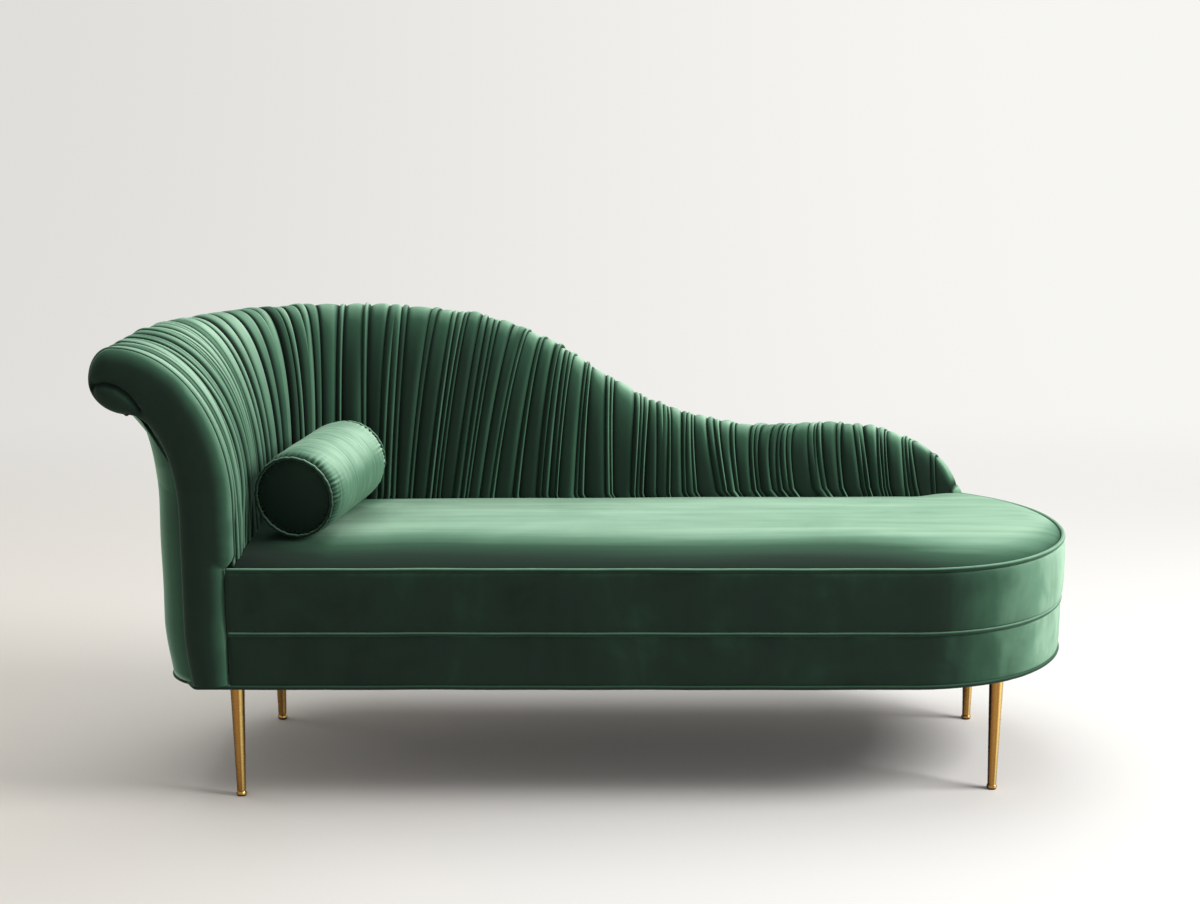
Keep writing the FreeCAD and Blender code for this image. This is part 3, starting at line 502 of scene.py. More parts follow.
def makeVelvet(name):
    # velvet with painted light: paler on faces turned up and on faces turned towards +X, where the lamps
    # fall, with a painted sheen where a face is seen edge-on, and darkened by the painted shade attribute
    look = velvets[name]
    shader = newShader(name)
    place = shader.place()
    streaks = shader.noise(shader.place(look["streaks"]), 1.0, 4.0, 0.6, 0.4)
    blotches = shader.noise(place, look["blotchScale"], 3.0, 0.6, 0.8)
    # painted light: up, side and rim paint the lit top, the lit +X side and an edge-on sheen into the base
    # colour
    normal = shader.add("ShaderNodeNewGeometry", output="Normal")
    up = shader.ramped(shader.part(normal, "Z"), 0.0, 1.0)
    side = shader.ramped(shader.part(normal, "X"), 0.0, 1.0)
    rim = shader.add("ShaderNodeLayerWeight", None, {"Blend": 0.45}, "Facing") ** 2.2
    nap = shader.add("ShaderNodeAttribute", {"attribute_name": "nap"}, output="Fac")
    paintedShading = up * look["up"] + side * look["side"] + rim * look["rim"]
    marks = (streaks - 0.5) * (2 * look["streak"]) + (blotches - 0.5) * (2 * look["blotch"])
    shade = shader.clamp((look["base"] + paintedShading + marks * (0.45 + paintedShading * 0.7)) * nap)
    color = shader.add("ShaderNodeValToRGB", {"stops": velvetShadingTones}, {"Fac": shade})
    pile = shader.noise(place, 900, 2.0, 0.6)
    lumps = shader.noise(place, 45, 3.0, 0.55)
    bump = shader.bump(pile * 0.15 + lumps, 0.22, 0.0012)
    return shader.finish({
        "Base Color": color, "Roughness": 0.78 + blotches * 0.12, "Specular IOR Level": 0.18, "Normal": bump,
        "Sheen Weight": look["sheen"], "Sheen Roughness": 0.35, "Sheen Tint": (.66, .92, .76, 1)})


# painted reflection: dark on faces turned to -X, a bright band on faces turned partway towards +X
brassReflectionTones = [
    (0.00, (.020, .009, .003, 1)), (0.07, (.035, .016, .006, 1)), (0.15, (.270, .125, .034, 1)),
    (0.40, (.385, .200, .052, 1)), (0.62, (.350, .175, .044, 1)), (0.74, (.960, .690, .240, 1)),
    (0.83, (.860, .580, .180, 1)), (0.94, (.400, .220, .065, 1))]


def makeBrass():
    shader = newShader("brushedBrass")
    turned = shader.noise(shader.place((60, 60, 900)), 1.0, 3.0, 0.6)
    patches = shader.noise(shader.place(), 30, 3.0, 0.55)
    # painted reflection: the colour follows the way each face points across X
    normal = shader.add("ShaderNodeNewGeometry", output="Normal")
    sideways = shader.part(normal, "X") * 0.5 + 0.5 + (patches - 0.5) * 0.04
    color = shader.add("ShaderNodeValToRGB", {"stops": brassReflectionTones}, {"Fac": sideways})
    return shader.finish({
        "Base Color": color, "Metallic": 1.0, "Roughness": 0.18 + turned * 0.12 + patches * 0.06,
        "Normal": shader.bump(turned, 0.06, 0.0004)})


def makeTimber(name, pale, dark, grain):
    shader = newShader(name)
    rings = shader.noise(shader.place(grain), 1.0, 5.0, 0.62, 1.2)
    fibres = shader.noise(shader.place(tuple(6 * value for value in grain)), 1.0, 3.0, 0.6)
    color = shader.mixColors(shader.clamp(rings * 0.7 + fibres * 0.4), pale + (1,), dark + (1,))
    return shader.finish({"Base Color": color, "Roughness": 0.62 + fibres * 0.2, "Specular IOR Level": 0.3,
                          "Normal": shader.bump(fibres, 0.2, 0.0006)})


def makeWeave(name, dark, light, threads):
    shader = newShader(name)
    place = shader.place()
    warp = shader.add("ShaderNodeTexWave", {"wave_type": "BANDS", "bands_direction": "X"},
                      {"Vector": place, "Scale": threads, "Distortion": 0.6, "Detail": 1.0}, output=1)
    weft = shader.add("ShaderNodeTexWave", {"wave_type": "BANDS", "bands_direction": "Y"},
                      {"Vector": place, "Scale": threads, "Distortion": 0.6, "Detail": 1.0}, output=1)
    fluff = shader.noise(place, 45, 3.0, 0.6)
    height = warp * weft
    color = shader.mixColors(shader.clamp(height * 0.7 + fluff * 0.4), dark + (1,), light + (1,))
    return shader.finish({"Base Color": color, "Roughness": 0.85 + fluff * 0.1, "Specular IOR Level": 0.2,
                          "Normal": shader.bump(height, 0.4, 0.0006)})


def makeMetal(name, color, worn, rough):
    shader = newShader(name)
    scratches = shader.noise(shader.place((400, 400, 60)), 1.0, 3.0, 0.6)
    patches = shader.noise(shader.place(), 80, 3.0, 0.6)
    mixed = shader.mixColors(patches, color + (1,), worn + (1,))
    return shader.finish({"Base Color": mixed, "Metallic": 1.0, "Roughness": rough + scratches * 0.15,
                          "Normal": shader.bump(scratches, 0.1, 0.0003)})


def makePlain(name, dark, light, scale, rough):
    # fine cast or foamed surface
    shader = newShader(name)
    grain = shader.noise(shader.place(), scale, 4.0, 0.65)
    color = shader.mixColors(grain, dark + (1,), light + (1,))
    return shader.finish({"Base Color": color, "Roughness": rough + grain * 0.12, "Specular IOR Level": 0.35,
                          "Normal": shader.bump(grain, 0.25, 0.0008)})


print("materials")
velvet = {name: makeVelvet(name) for name in velvets}
brass = makeBrass()
finishes = {
    "frame_timber": makeTimber("beechTimber", (.52, .36, .21), (.34, .20, .10), (3, 26, 26)),
    "plywood": makeTimber("birchPly", (.60, .45, .28), (.42, .28, .15), (8, 8, 60)),
    "card_panel": makePlain("cardPanel", (.24, .18, .12), (.36, .28, .19), 90, .75),
    "black_cloth": makeWeave("dustCloth", (.010, .010, .011), (.042, .042, .044), 180),
    "spring_wire": makeMetal("springWire", (.30, .30, .31), (.16, .15, .14), .35),
    "zinc_steel": makeMetal("zincSteel", (.62, .62, .60), (.45, .45, .44), .30),
    "nylon": makePlain("blackNylon", (.012, .012, .012), (.030, .030, .030), 160, .45),
    "foam": makePlain("seatFoam", (.62, .56, .38), (.74, .69, .50), 260, .85),
}


# Pleated inside of the arm and back

pleats = {
    "seed": 11,
    "armWidths": (0.0115, 0.0235),
    "narrowWidths": (0.0075, 0.0125),
    "wideWidths": (0.020, 0.036),
    "narrowHeights": (0.0060, 0.0085),
    "wideHeights": (0.0055, 0.0080),
    "armHeights": (0.0065, 0.0095),
    "baseInset": 0.0065,
    "startAt": 0.0150,
    "lean": 0.115,
    "widthPlay": 0.26,
    "mergeShare": 0.34,
    "bottomZ": 0.395,
    "rows": (4, 38, 16, 8),      # upright, inner curve, over the crest, under the roll
    "depthInside": 0.024,
    "armEnd": 0.50,              # folds before this are the arm's
    "mergeUnder": 0.034,         # two folds narrower than this together may join
    "fineOver": 0.0150,          # folds wider than this get more columns
    "leanStarts": (0.58, 0.75),
    "leanEnds": (1.40, 1.62),
    "backStarts": (0.45, 0.65),  # where the creases turn from the arm's shade to the back's
    # tones of the painted shade at the bottom of the creases: on the arm, added on the back, and added where
    # a crease fades out
    "armCreaseShadeTone": 0.04,
    "backCreaseShadeTone": 0.22,
    "fadedCreaseShadeTone": 0.38,
}


def gatherFolds():
    # widths and heights of the folds from the arm's front to the foot
    rng = random.Random(pleats["seed"])
    folds = []
    place = pleats["startAt"]
    end = wall["end"] - 0.004
    narrowLeft = 0
    while place < end:
        if place < pleats["armEnd"]:
            width = rng.uniform(*pleats["armWidths"])
            height = rng.uniform(*pleats["armHeights"])
            fullness = rng.uniform(2.6, 4.4)
        elif narrowLeft > 0:
            width = rng.uniform(*pleats["narrowWidths"])
            height = rng.uniform(*pleats["narrowHeights"])
            fullness = rng.uniform(1.9, 2.4)
            narrowLeft -= 1
        else:
            width = rng.uniform(*pleats["wideWidths"])
            height = rng.uniform(*pleats["wideHeights"])
            fullness = rng.uniform(2.0, 3.2)
            narrowLeft = rng.choice((1, 1, 2, 2, 3, 3, 4))
        folds.append({"width": width, "height": height, "fullness": fullness,
                      "skew": rng.uniform(0.62, 1.60), "beat": rng.uniform(1.2, 2.6),
                      "tone": rng.uniform(0.55 if place < pleats["armEnd"] else 0.72, 1.12),
                      "phase": rng.uniform(0, 6.28), "swing": rng.uniform(0, 6.28)})
        place += width
    merges = {}
    i = 2
    while i < len(folds) - 2:
        small = folds[i]["width"] + folds[i + 1]["width"] < pleats["mergeUnder"]
        if small and rng.random() < pleats["mergeShare"]:
            merges[i] = (rng.uniform(0.9, 2.3), rng.choice((-1, 1)))
            i += 2
        i += 1
    return folds, merges


def makePleatedBack():
    folds, merges = gatherFolds()
    upright, inner, over, under = pleats["rows"]
    stages = np.concatenate([np.linspace(0.0, 1, upright, endpoint=False),
                             np.linspace(1, 2, inner, endpoint=False),
                             np.linspace(2, 3, over, endpoint=False), np.linspace(3, 4, under)])
    stage = stages[:, None]

    keys = ("width", "beat", "phase", "skew", "fullness", "height", "swing")
    widths, beats, phases, skews, fullness, heights, swings = [
        np.array([fold[key] for fold in folds])[None, :] for key in keys]
    play = widths * (1 + pleats["widthPlay"] * np.sin(beats * stage + phases))
    creases = np.concatenate([np.zeros((len(stages), 1)), np.cumsum(play, axis=1)], axis=1)
    creases *= (wall["end"] - 0.001 - pleats["startAt"]) / creases[:, -1:]
    creases += pleats["startAt"]

    foldOf = []
    part = []
    for i, fold in enumerate(folds):
        count = 12 if fold["width"] > pleats["fineOver"] else 9
        for j in range(count):
            foldOf.append(i)
            part.append(0.5 - 0.5 * math.cos(math.pi * j / count))
    foldOf.append(len(folds) - 1)
    part.append(1.0)
    foldOf = np.array(foldOf)
    part = np.array(part)[None, :]
    first = creases[:, foldOf]
    span = creases[:, foldOf + 1] - first
    along = first + part * span

    def hump(t, full, tall):
        return tall * np.sqrt(np.maximum(0, 1 - np.abs(2 * t - 1) ** full))

    swell = heights * (1 + 0.30 * np.sin(1.7 * beats * stage + swings))
    skewed = part ** skews[:, foldOf]
    lift = hump(skewed, fullness[:, foldOf], swell[:, foldOf])
    for i, (at, way) in merges.items():
        columns = np.flatnonzero((foldOf == i) | (foldOf == i + 1))
        start = creases[:, i:i + 1]
        whole = creases[:, i + 2:i + 3] - start
        t = np.clip((along[:, columns] - start) / whole, 0, 1)
        joined = hump(t, 2.6, (swell[:, i:i + 1] + swell[:, i + 1:i + 2]) / 2 * 1.05)
        share = smoothStep(-0.35, 0.35, way * (stage - at))
        lift[:, columns] = lift[:, columns] * (1 - share) + joined * share

    # painted shade in the creases, deepest on the arm, and painted light on the ridges; each fold also has a
    # random tone of its own
    tones = np.array([fold["tone"] for fold in folds])[None, foldOf]
    onBack = smoothStep(*pleats["backStarts"], along)
    creaseShadeTone = pleats["armCreaseShadeTone"] + pleats["backCreaseShadeTone"] * onBack
    litRidge = smoothStep(0.30, 0.97, lift / np.maximum(swell[:, foldOf], 1e-4))
    fading = 0.5 + 0.5 * np.sin(1.3 * beats * stage + 2.3 * swings)[:, foldOf]
    creaseShadeTone = creaseShadeTone + pleats["fadedCreaseShadeTone"] * fading * onBack
    nap = tones * (creaseShadeTone + (1.08 - creaseShadeTone) * litRidge)
    tail = np.clip((along - wall["tailStart"]) / plan["tailLength"], 0, 1)
    lift = lift * (1 - 0.45 * tail) * (1 - 0.6 * smoothStep(3.3, 4.0, stage))
    z = liningOutline(along, stage + 0 * along, 0.0, pleats["bottomZ"])[1]
    risen = np.where(stage <= 2, np.maximum(0, z - seat["edgeZ"]),
                     np.maximum(0, readWall("crestHeight", along) - seat["edgeZ"]))
    leaning = smoothStep(*pleats["leanStarts"], along) * (1 - smoothStep(*pleats["leanEnds"], along))
    placed = along + risen * pleats["lean"] * leaning
    fixed = smoothStep(0.0, 0.09, along - pleats["startAt"])
    straight = along[:1] + 0 * along
    placed = straight * (1 - fixed) + placed * fixed

    stageGrid = stage + 0 * placed
    inset = pleats["baseInset"] * (1 - 0.62 * tail)

    def surface(a, s):
        return liningSurface(a, s, inset, pleats["bottomZ"])

    base = surface(placed, stageGrid)
    normal = surfaceNormal(surface, placed, np.clip(stageGrid, 0.02, 3.98))
    outer = base + normal * lift[..., None]

    # back inside the padding, so that the piece is closed
    innerRows = []
    depth = pleats["depthInside"]
    for s in (3.4, 2.6, 2.0, 1.6, 1.0, 0.0):
        a = placed[-1] if s > 2 else placed[np.argmin(np.abs(stages - s))]
        reachIn = np.minimum(depth, 0.6 * readWall("rollDrop", a)) * (1 - 0.5 * tail[0])
        innerRows.append(liningSurface(a, np.full_like(a, s), reachIn, pleats["bottomZ"]))
    ring = np.concatenate([outer, np.stack(innerRows)], axis=0)
    paintedShadeRing = np.concatenate([nap, np.ones((len(innerRows), nap.shape[1]))], axis=0)
    return closedLoft("pleatedBack", ring.transpose(1, 0, 2), paintedShadeRing.T)


print("pleats")
pleatedBack = makePleatedBack()
finishPiece(pleatedBack, velvet["wallVelvet"], "root", ["pleated_cover", "back_foam"])


# Smooth outside of the arm and back, and the cord under its roll

def makeOutsideCover():
    stages = np.concatenate([np.linspace(0, 1, 20, endpoint=False), np.linspace(1, 2, 12, endpoint=False),
                             np.linspace(2, 3, 10)])
    bend = np.arange(0.0125, 0.14, 0.004)
    run = np.arange(0.14, wall["end"] - 0.002, 0.007)
    along, stage = np.meshgrid(np.concatenate([bend, run]), stages, indexing="ij")

    def surface(a, s):
        n, z = panelOutline(a, s, 0.0)
        return placeOut(a, n, z)

    outer = surface(along, stage)
    normal = -surfaceNormal(surface, along, np.clip(stage, 0.02, 2.98))
    outer = outer + normal * (0.0009 * ripple(outer, 16, 21))[..., None]
    innerRows = []
    for s in (3.0, 2.0, 1.0, 0.5, 0.0):
        n, z = panelOutline(along[:, 0], np.full(len(along), s), 0.004)
        innerRows.append(placeOut(along[:, 0], n, z))
    ring = np.concatenate([outer, np.stack(innerRows, axis=1)], axis=1)
    return closedLoft("outsideCover", ring)


def hemPath():
    along = np.arange(0.020, wall["end"] - 0.006, cords["step"])
    n, z = panelOutline(along, np.zeros_like(along), 0.0)
    return placeOut(along, n + cords["radius"] + 0.0004, z - 0.001)


print("outside cover")
outsideCover = makeOutsideCover()
finishPiece(outsideCover, velvet["outsideVelvet"], "root", ["outside_cover"])
hemCord = sweepCord("hemCord", hemPath(), cords["radius"], wobble=0.03)
finishPiece(hemCord, velvet["cordVelvet"], "root", ["hem_welt"])


# Padded front panel of the arm, with its scroll

facing = {
    "overSeat": 0.017,           # how far it swells over the seat's corner
    "rimY": 0.010,               # the rim's place behind the front plane
    "swell": 0.0205,
    "rounding": 0.030,
    "crown": 0.0025,
    "backY": 0.0165,
    "across": 52,
    "along": 330,
    "eye": [(-.8895, .7700), (-.8800, .7815), (-.8600, .7860), (-.8390, .7800), (-.8200, .7660),
            (-.8080, .7500), (-.8020, .7385)],
    "eyeGroove": 0.0160,
    "eyeWidth": 0.0060,
    "eyeShade": 0.70,
    "eyeShadeWidth": 0.0075,
    "cordRadius": 0.0030,
    "cordStart": 6,              # the cord begins above the seat's corner
}


def resample(points, count, warp=None):
    # points spread along a path
    points = np.array(points)
    length = np.concatenate([[0], np.cumsum(np.linalg.norm(np.diff(points, axis=0), axis=1))])
    at = np.linspace(0, 1, count) if warp is None else warp
    columns = [np.interp(at * length[-1], length, points[:, k]) for k in range(points.shape[1])]
    return np.stack(columns, axis=1)


def facingSides():
    # the panel's edge towards the seat and over the scroll, and its edge towards the outside
    zero = np.zeros(1)
    thick = plan["facingWidth"]
    below = facing["overSeat"]
    inward = [(-below, section["skirtBottom"]), (-below, seat["edgeZ"] - 0.012)]
    for step in np.linspace(0, 1, 9):
        inward.append((-below + below * math.sin(step * math.pi / 2), seat["edgeZ"] + 0.028 * step ** 1.2))
    rising = np.concatenate([np.linspace(1, 2, 40), np.linspace(2, 3, 30)[1:], np.linspace(3, 4, 30)[1:]])
    for stage in rising:
        n, z = liningOutline(zero, zero + stage, 0.0, 0.475, thick)
        inward.append((-n[0], z[0]))
    outward = []
    climbing = np.concatenate([np.linspace(3, 2, 12), np.linspace(2, 1, 12)[1:], np.linspace(1, 0, 30)[1:]])
    for stage in climbing:
        n, z = panelOutline(zero, zero + stage, 0.0, thick)
        outward.append((-n[0], z[0]))
    inward = np.array(inward) + np.array([plan["armX"], 0])
    outward = np.array(outward) + np.array([plan["armX"], 0])
    return inward, outward


def distanceTo(points, path):
    # least distance from each point to a path of straight runs
    best = np.full(points.shape[:-1], 9.0)
    for a, b in zip(path[:-1], path[1:]):
        run = b - a
        t = np.clip(((points - a) @ run) / max(run @ run, 1e-12), 0, 1)
        best = np.minimum(best, np.linalg.norm(points - a - t[..., None] * run, axis=-1))
    return best


def makeFacing():
    inward, outward = facingSides()
    count = facing["along"]
    steps = np.linspace(0, 1, count)
    half = 0.44
    inwardAt = np.interp(steps, [0, half, 1], [0, 0.40, 1])
    outwardAt = np.interp(steps, [0, half, 1], [0, 0.72, 1])
    inner = resample(inward, count, inwardAt)
    outer = resample(outward, count, outwardAt)
    across = 0.5 - 0.5 * np.cos(np.linspace(0, math.pi, facing["across"]))
    flat = inner[:, None] * (1 - across[None, :, None]) + outer[:, None] * across[None, :, None]
    rim = np.concatenate([inward, outward[::-1]])
    toRim = distanceTo(flat, rim)
    eye = resample(np.array(facing["eye"]), 24)
    toEye = distanceTo(flat, eye)
    near = np.clip(toRim / facing["rounding"], 0, 1)
    puff = facing["swell"] * np.sqrt(1 - (1 - near) ** 2) + facing["crown"] * smoothStep(0, 0.05, toRim)
    groove = facing["eyeGroove"] * np.exp(-toEye / facing["eyeWidth"]) * np.clip(toRim / 0.006, 0, 1)
    depth = plan["frontY"] + facing["rimY"] - puff + groove
    front = np.stack([flat[..., 0], depth, flat[..., 1]], axis=-1)
    rows, columns = front.shape[:2]
    back = front[:, ::columns - 1].copy()
    back[..., 1] = plan["frontY"] + facing["backY"]
    ring = np.concatenate([front, back[:, ::-1]], axis=1)
    nap = 1 - facing["eyeShade"] * np.exp(-(toEye / facing["eyeShadeWidth"]) ** 2)
    nap = np.concatenate([nap, np.ones((rows, 2))], axis=1)
    return closedLoft("armFacing", ring, nap)


def facingSeam():
    path = facingSides()[0][facing["cordStart"]:]
    y = plan["frontY"] + facing["backY"] + 0.0002
    return np.stack([path[:, 0], np.full(len(path), y), path[:, 1]], axis=1)


print("facing")
armFacing = makeFacing()
finishPiece(armFacing, velvet["facingVelvet"], "root", ["facing_cover", "facing_pad"])
seamCord = sweepCord("facingCord", resample(facingSeam(), 220), facing["cordRadius"], across=(0, 1, 0))
finishPiece(seamCord, velvet["cordVelvet"], "root", ["facing_welt"])


# Crowned seat

def seatLine(x):
    # front and back edges of the seat at places along its length
    inset = seat["edgeInset"]
    radius = plan["footRadius"] - inset
    bulge = np.sqrt(np.maximum(0, radius ** 2 - np.maximum(0, x - plan["footX"]) ** 2))
    front = np.where(x < plan["footX"], plan["frontY"] + inset, plan["footY"] - bulge)
    gap = seat["wallGap"]
    nook = plan["nookRadius"] - gap
    fromNook = np.clip(plan["nookX"] - x, 0, nook)
    nookBack = plan["nookY"] + np.sqrt(nook ** 2 - fromNook ** 2)
    slope = plan["backRise"] / (plan["footX"] - plan["nookX"])
    line = plan["nookY"] + nook + np.maximum(0, x - plan["nookX"]) * slope
    back = np.where(x < plan["nookX"], nookBack, line)
    return front, np.minimum(back, np.where(x > plan["footX"], plan["footY"] + bulge, 9.0))


def makeSeat():
    left = plan["armX"] + seat["wallGap"]
    right = plan["footX"] + plan["footRadius"] - seat["edgeInset"]
    bend = right - 0.30
    x = np.concatenate([left + 0.19 * (1 - np.cos(np.linspace(0, math.pi / 2, 24))),
                        np.linspace(left + 0.19, bend, 90)[1:],
                        bend + 0.30 * np.sin(np.linspace(0, math.pi / 2, 56))[1:]])
    front, back = seatLine(x)
    across = 0.5 - 0.5 * np.cos(np.linspace(0, math.pi, 72))
    y = front[:, None] + (back - front)[:, None] * across[None, :]
    grid = np.stack([x[:, None] + 0 * y, y], axis=-1)
    alongFront = np.linspace(left, plan["footX"], 40)
    edge = [(value, plan["frontY"] + seat["edgeInset"]) for value in alongFront]
    radius = plan["footRadius"] - seat["edgeInset"]
    edge += arcPoints(plan["footX"], plan["footY"], radius, -90, 60, 60)
    toEdge = distanceTo(grid, np.array(edge))
    rise = seat["crown"] * (1 - np.exp(-toEdge / seat["softness"]))
    near = np.clip(toEdge / seat["shoulderReach"], 0, 1)
    shoulder = seat["shoulder"] * np.sqrt(np.clip(1 - (1 - near) ** 2, 0, 1))
    flat = np.concatenate([grid, np.zeros(grid.shape[:-1] + (1,))], axis=-1)
    wave = seat["sag"] * ripple(flat, 9, 4) * np.clip(toEdge / 0.05, 0, 1)
    nook = np.hypot(np.maximum(0, plan["nookX"] - grid[..., 0]), np.maximum(0, grid[..., 1] - plan["nookY"]))
    backLine = np.minimum(back[:, None] - grid[..., 1], plan["nookRadius"] - nook)
    toWall = np.minimum(backLine, grid[..., 0] - left)
    sink = seat["backSink"] * np.exp(-toWall / seat["sinkReach"]) * smoothStep(0, 0.10, toEdge)
    z = seat["edgeZ"] - seat["edgeDrop"] + rise + shoulder + wave - sink
    top = np.stack([grid[..., 0], grid[..., 1], z], axis=-1)
    low = top[:, ::top.shape[1] - 1].copy()
    low[..., 2] = seat["bottomZ"]
    ring = np.concatenate([top, low[:, ::-1]], axis=1)
    # painted shade along the front edge, and painted shadow by the arm and bolster
    shadeReach = seat["frontShadeDepth"] + 0.012 * ripple(flat, 7, 12)
    footward = smoothStep(0.45, 0.85, grid[..., 0])
    fromFront = grid[..., 1] - front[:, None] + seat["footShift"] * footward
    nap = seat["frontShadeDarkest"] + (1 - seat["frontShadeDarkest"]) * smoothStep(-0.085, 0.150, fromFront - shadeReach)
    armShadowFade = smoothStep(-0.02, 0.22, toWall) + smoothStep(-0.52, -0.38, grid[..., 0])
    nap = nap * (seat["armShadowDarkest"] + (1 - seat["armShadowDarkest"]) * np.clip(armShadowFade, 0, 1))
    nap = np.concatenate([nap, nap[:, :1], nap[:, :1]], axis=1)
    return closedLoft("seatCushion", ring, nap)


print("seat")
seatCushion = makeSeat()
finishPiece(seatCushion, velvet["seatVelvet"], "root", ["seat_top", "seat_foam"])


# Bands round the front and foot, and their cords

bands = {
    "startX": -0.6645,
    "upper": (0.3305, 0.4410),
    "lower": (0.2295, 0.3215),
    "upperSwell": 0.0055,
    "lowerSwell": 0.0025,
    "thickness": 0.004,
    "wave": 0.0008,
}


def bandPath(inset, start, end, step):
    # plan line along the front and round the foot
    radius = plan["footRadius"] - inset
    points = [(x, plan["frontY"] + inset) for x in np.arange(start, plan["footX"], step)]
    turns = max(8, int(radius * math.radians(end + 90) / step))
    return np.array(points + arcPoints(plan["footX"], plan["footY"], radius, -90, end, turns))


bandEnd = 90 - plan["tailTurn"] + 1.3


def makeBand(name, levels, inset, swell, seed):
    low, high = levels
    heights = 0.5 - 0.5 * np.cos(np.linspace(0, math.pi, 22))
    path = bandPath(0.0, bands["startX"], bandEnd, 0.008)
    ahead = np.gradient(path, axis=0)
    ahead /= np.linalg.norm(ahead, axis=1, keepdims=True)
    outward = np.stack([ahead[:, 1], -ahead[:, 0]], axis=1)
    z = low + (high - low) * heights
    full = swell * np.sqrt(np.clip(1 - np.abs(2 * heights - 1) ** 3, 0, 1))
    flat = np.stack([path[:, 0:1] + 0 * z, path[:, 1:2] + 0 * z, z[None] + 0 * path[:, :1]], axis=-1)
    wave = bands["wave"] * ripple(flat, 22, seed) * np.sin(math.pi * heights)[None]
    push = -inset + full[None] + wave
    front = flat.copy()
    front[..., :2] += outward[:, None] * push[..., None]
    back = flat[:, ::len(z) - 1].copy()
    back[..., :2] -= outward[:, None] * (inset + bands["thickness"])
    ring = np.concatenate([front, back[:, ::-1]], axis=1)
    return closedLoft(name, ring)


def planCord(name, inset, z, start, end, nodes, lead=None):
    path = bandPath(inset, start, end, cords["step"])
    if lead is not None:
        path = np.concatenate([np.array(lead), path])
    level = z + 0.0006 * ripple(np.stack([path[:, 0], path[:, 1], 0 * path[:, 0]], axis=1), 14, 8)
    nap = 1.0 if z > cords["bottomZ"] else cords["bottomCordShade"]
    cord = sweepCord(name, np.column_stack([path, level]), cords["radius"], wobble=0.02, nap=nap)
    finishPiece(cord, velvet["cordVelvet"], "root", nodes)


def bottomBackPath():
    # round the foot, along the back and round both corners of the head
    tuck = section["skirtTaper"] + 0.0015
    bowX = plan["headX"] + plan["backCorner"]
    bowY = plan["backY"] - plan["backCorner"]
    cornerX = plan["headX"] + plan["frontCorner"]
    cornerY = plan["frontY"] + plan["frontCornerDepth"]
    points = arcPoints(plan["footX"], plan["footY"], plan["footRadius"] - tuck, 57.5, 90, 30)
    points += [(x, plan["backY"] - tuck) for x in np.arange(plan["footX"], bowX, -cords["step"] * 2)[1:]]
    points += arcPoints(bowX, bowY, plan["backCorner"] - tuck, 90, 180, 60)
    points += [(plan["headX"] + tuck, y) for y in np.linspace(bowY, cornerY, 22)[1:-1]]
    points += arcPoints(cornerX, cornerY, plan["frontCorner"] - tuck, 180, 238, 24)
    return np.column_stack([np.array(points), np.full(len(points), cords["bottomZ"])])


print("bands and cords")
upperBand = makeBand("upperBand", bands["upper"], 0.002, bands["upperSwell"], 31)
finishPiece(upperBand, velvet["bandVelvet"], "root", ["upper_band"])
lowerBand = makeBand("lowerBand", bands["lower"], 0.003, bands["lowerSwell"], 37)
finishPiece(lowerBand, velvet["bandVelvet"], "root", ["lower_band"])
planCord("topCord", 0.002, cords["topZ"], bands["startX"], bandEnd, ["top_welt"])
planCord("midCord", 0.003, cords["midZ"], bands["startX"], bandEnd, ["mid_welt"])
planCord("bottomCordFront", 0.0035, cords["bottomZ"], cords["bottomStart"], 56, ["bottom_welt_front"],
         cords["bottomLead"])
bottomCordBack = sweepCord("bottomCordBack", bottomBackPath(), cords["radius"], wobble=0.02,
                           nap=cords["bottomCordShade"])
finishPiece(bottomCordBack, velvet["cordVelvet"], "root", ["bottom_welt_back"])


# Bolster

bolster = {
    "near": (-0.559, -0.171, 0.546),
    "far": (-0.488, 0.096, 0.562),
    "radius": 0.0815,
    "nearRadius": 0.0735,
    "farRadius": 0.0690,
    "shoulder": 0.013,
    "dome": 0.013,
    "gathers": 46,
    "gatherDepth": 0.0042,
    "creases": 34,
    "gatherShade": 0.80,
    "endSet": 0.0045,            # how far the end panels lie inside the cover
    "cordSet": 0.0032,
    "cordRadius": 0.0031,
    "seed": 5,
}


def bolsterAxes():
    near = np.array(bolster["near"])
    far = np.array(bolster["far"])
    length = np.linalg.norm(far - near)
    ahead = (far - near) / length
    up = np.array([0, 0, 1]) - ahead[2] * ahead
    up /= np.linalg.norm(up)
    return near, ahead, up, np.cross(ahead, up), length


def bolsterPoints(distance, radius, angle):
    near, ahead, up, side = bolsterAxes()[:4]
    return (near + distance[..., None] * ahead
            + radius[..., None] * (np.cos(angle)[..., None] * up + np.sin(angle)[..., None] * side))


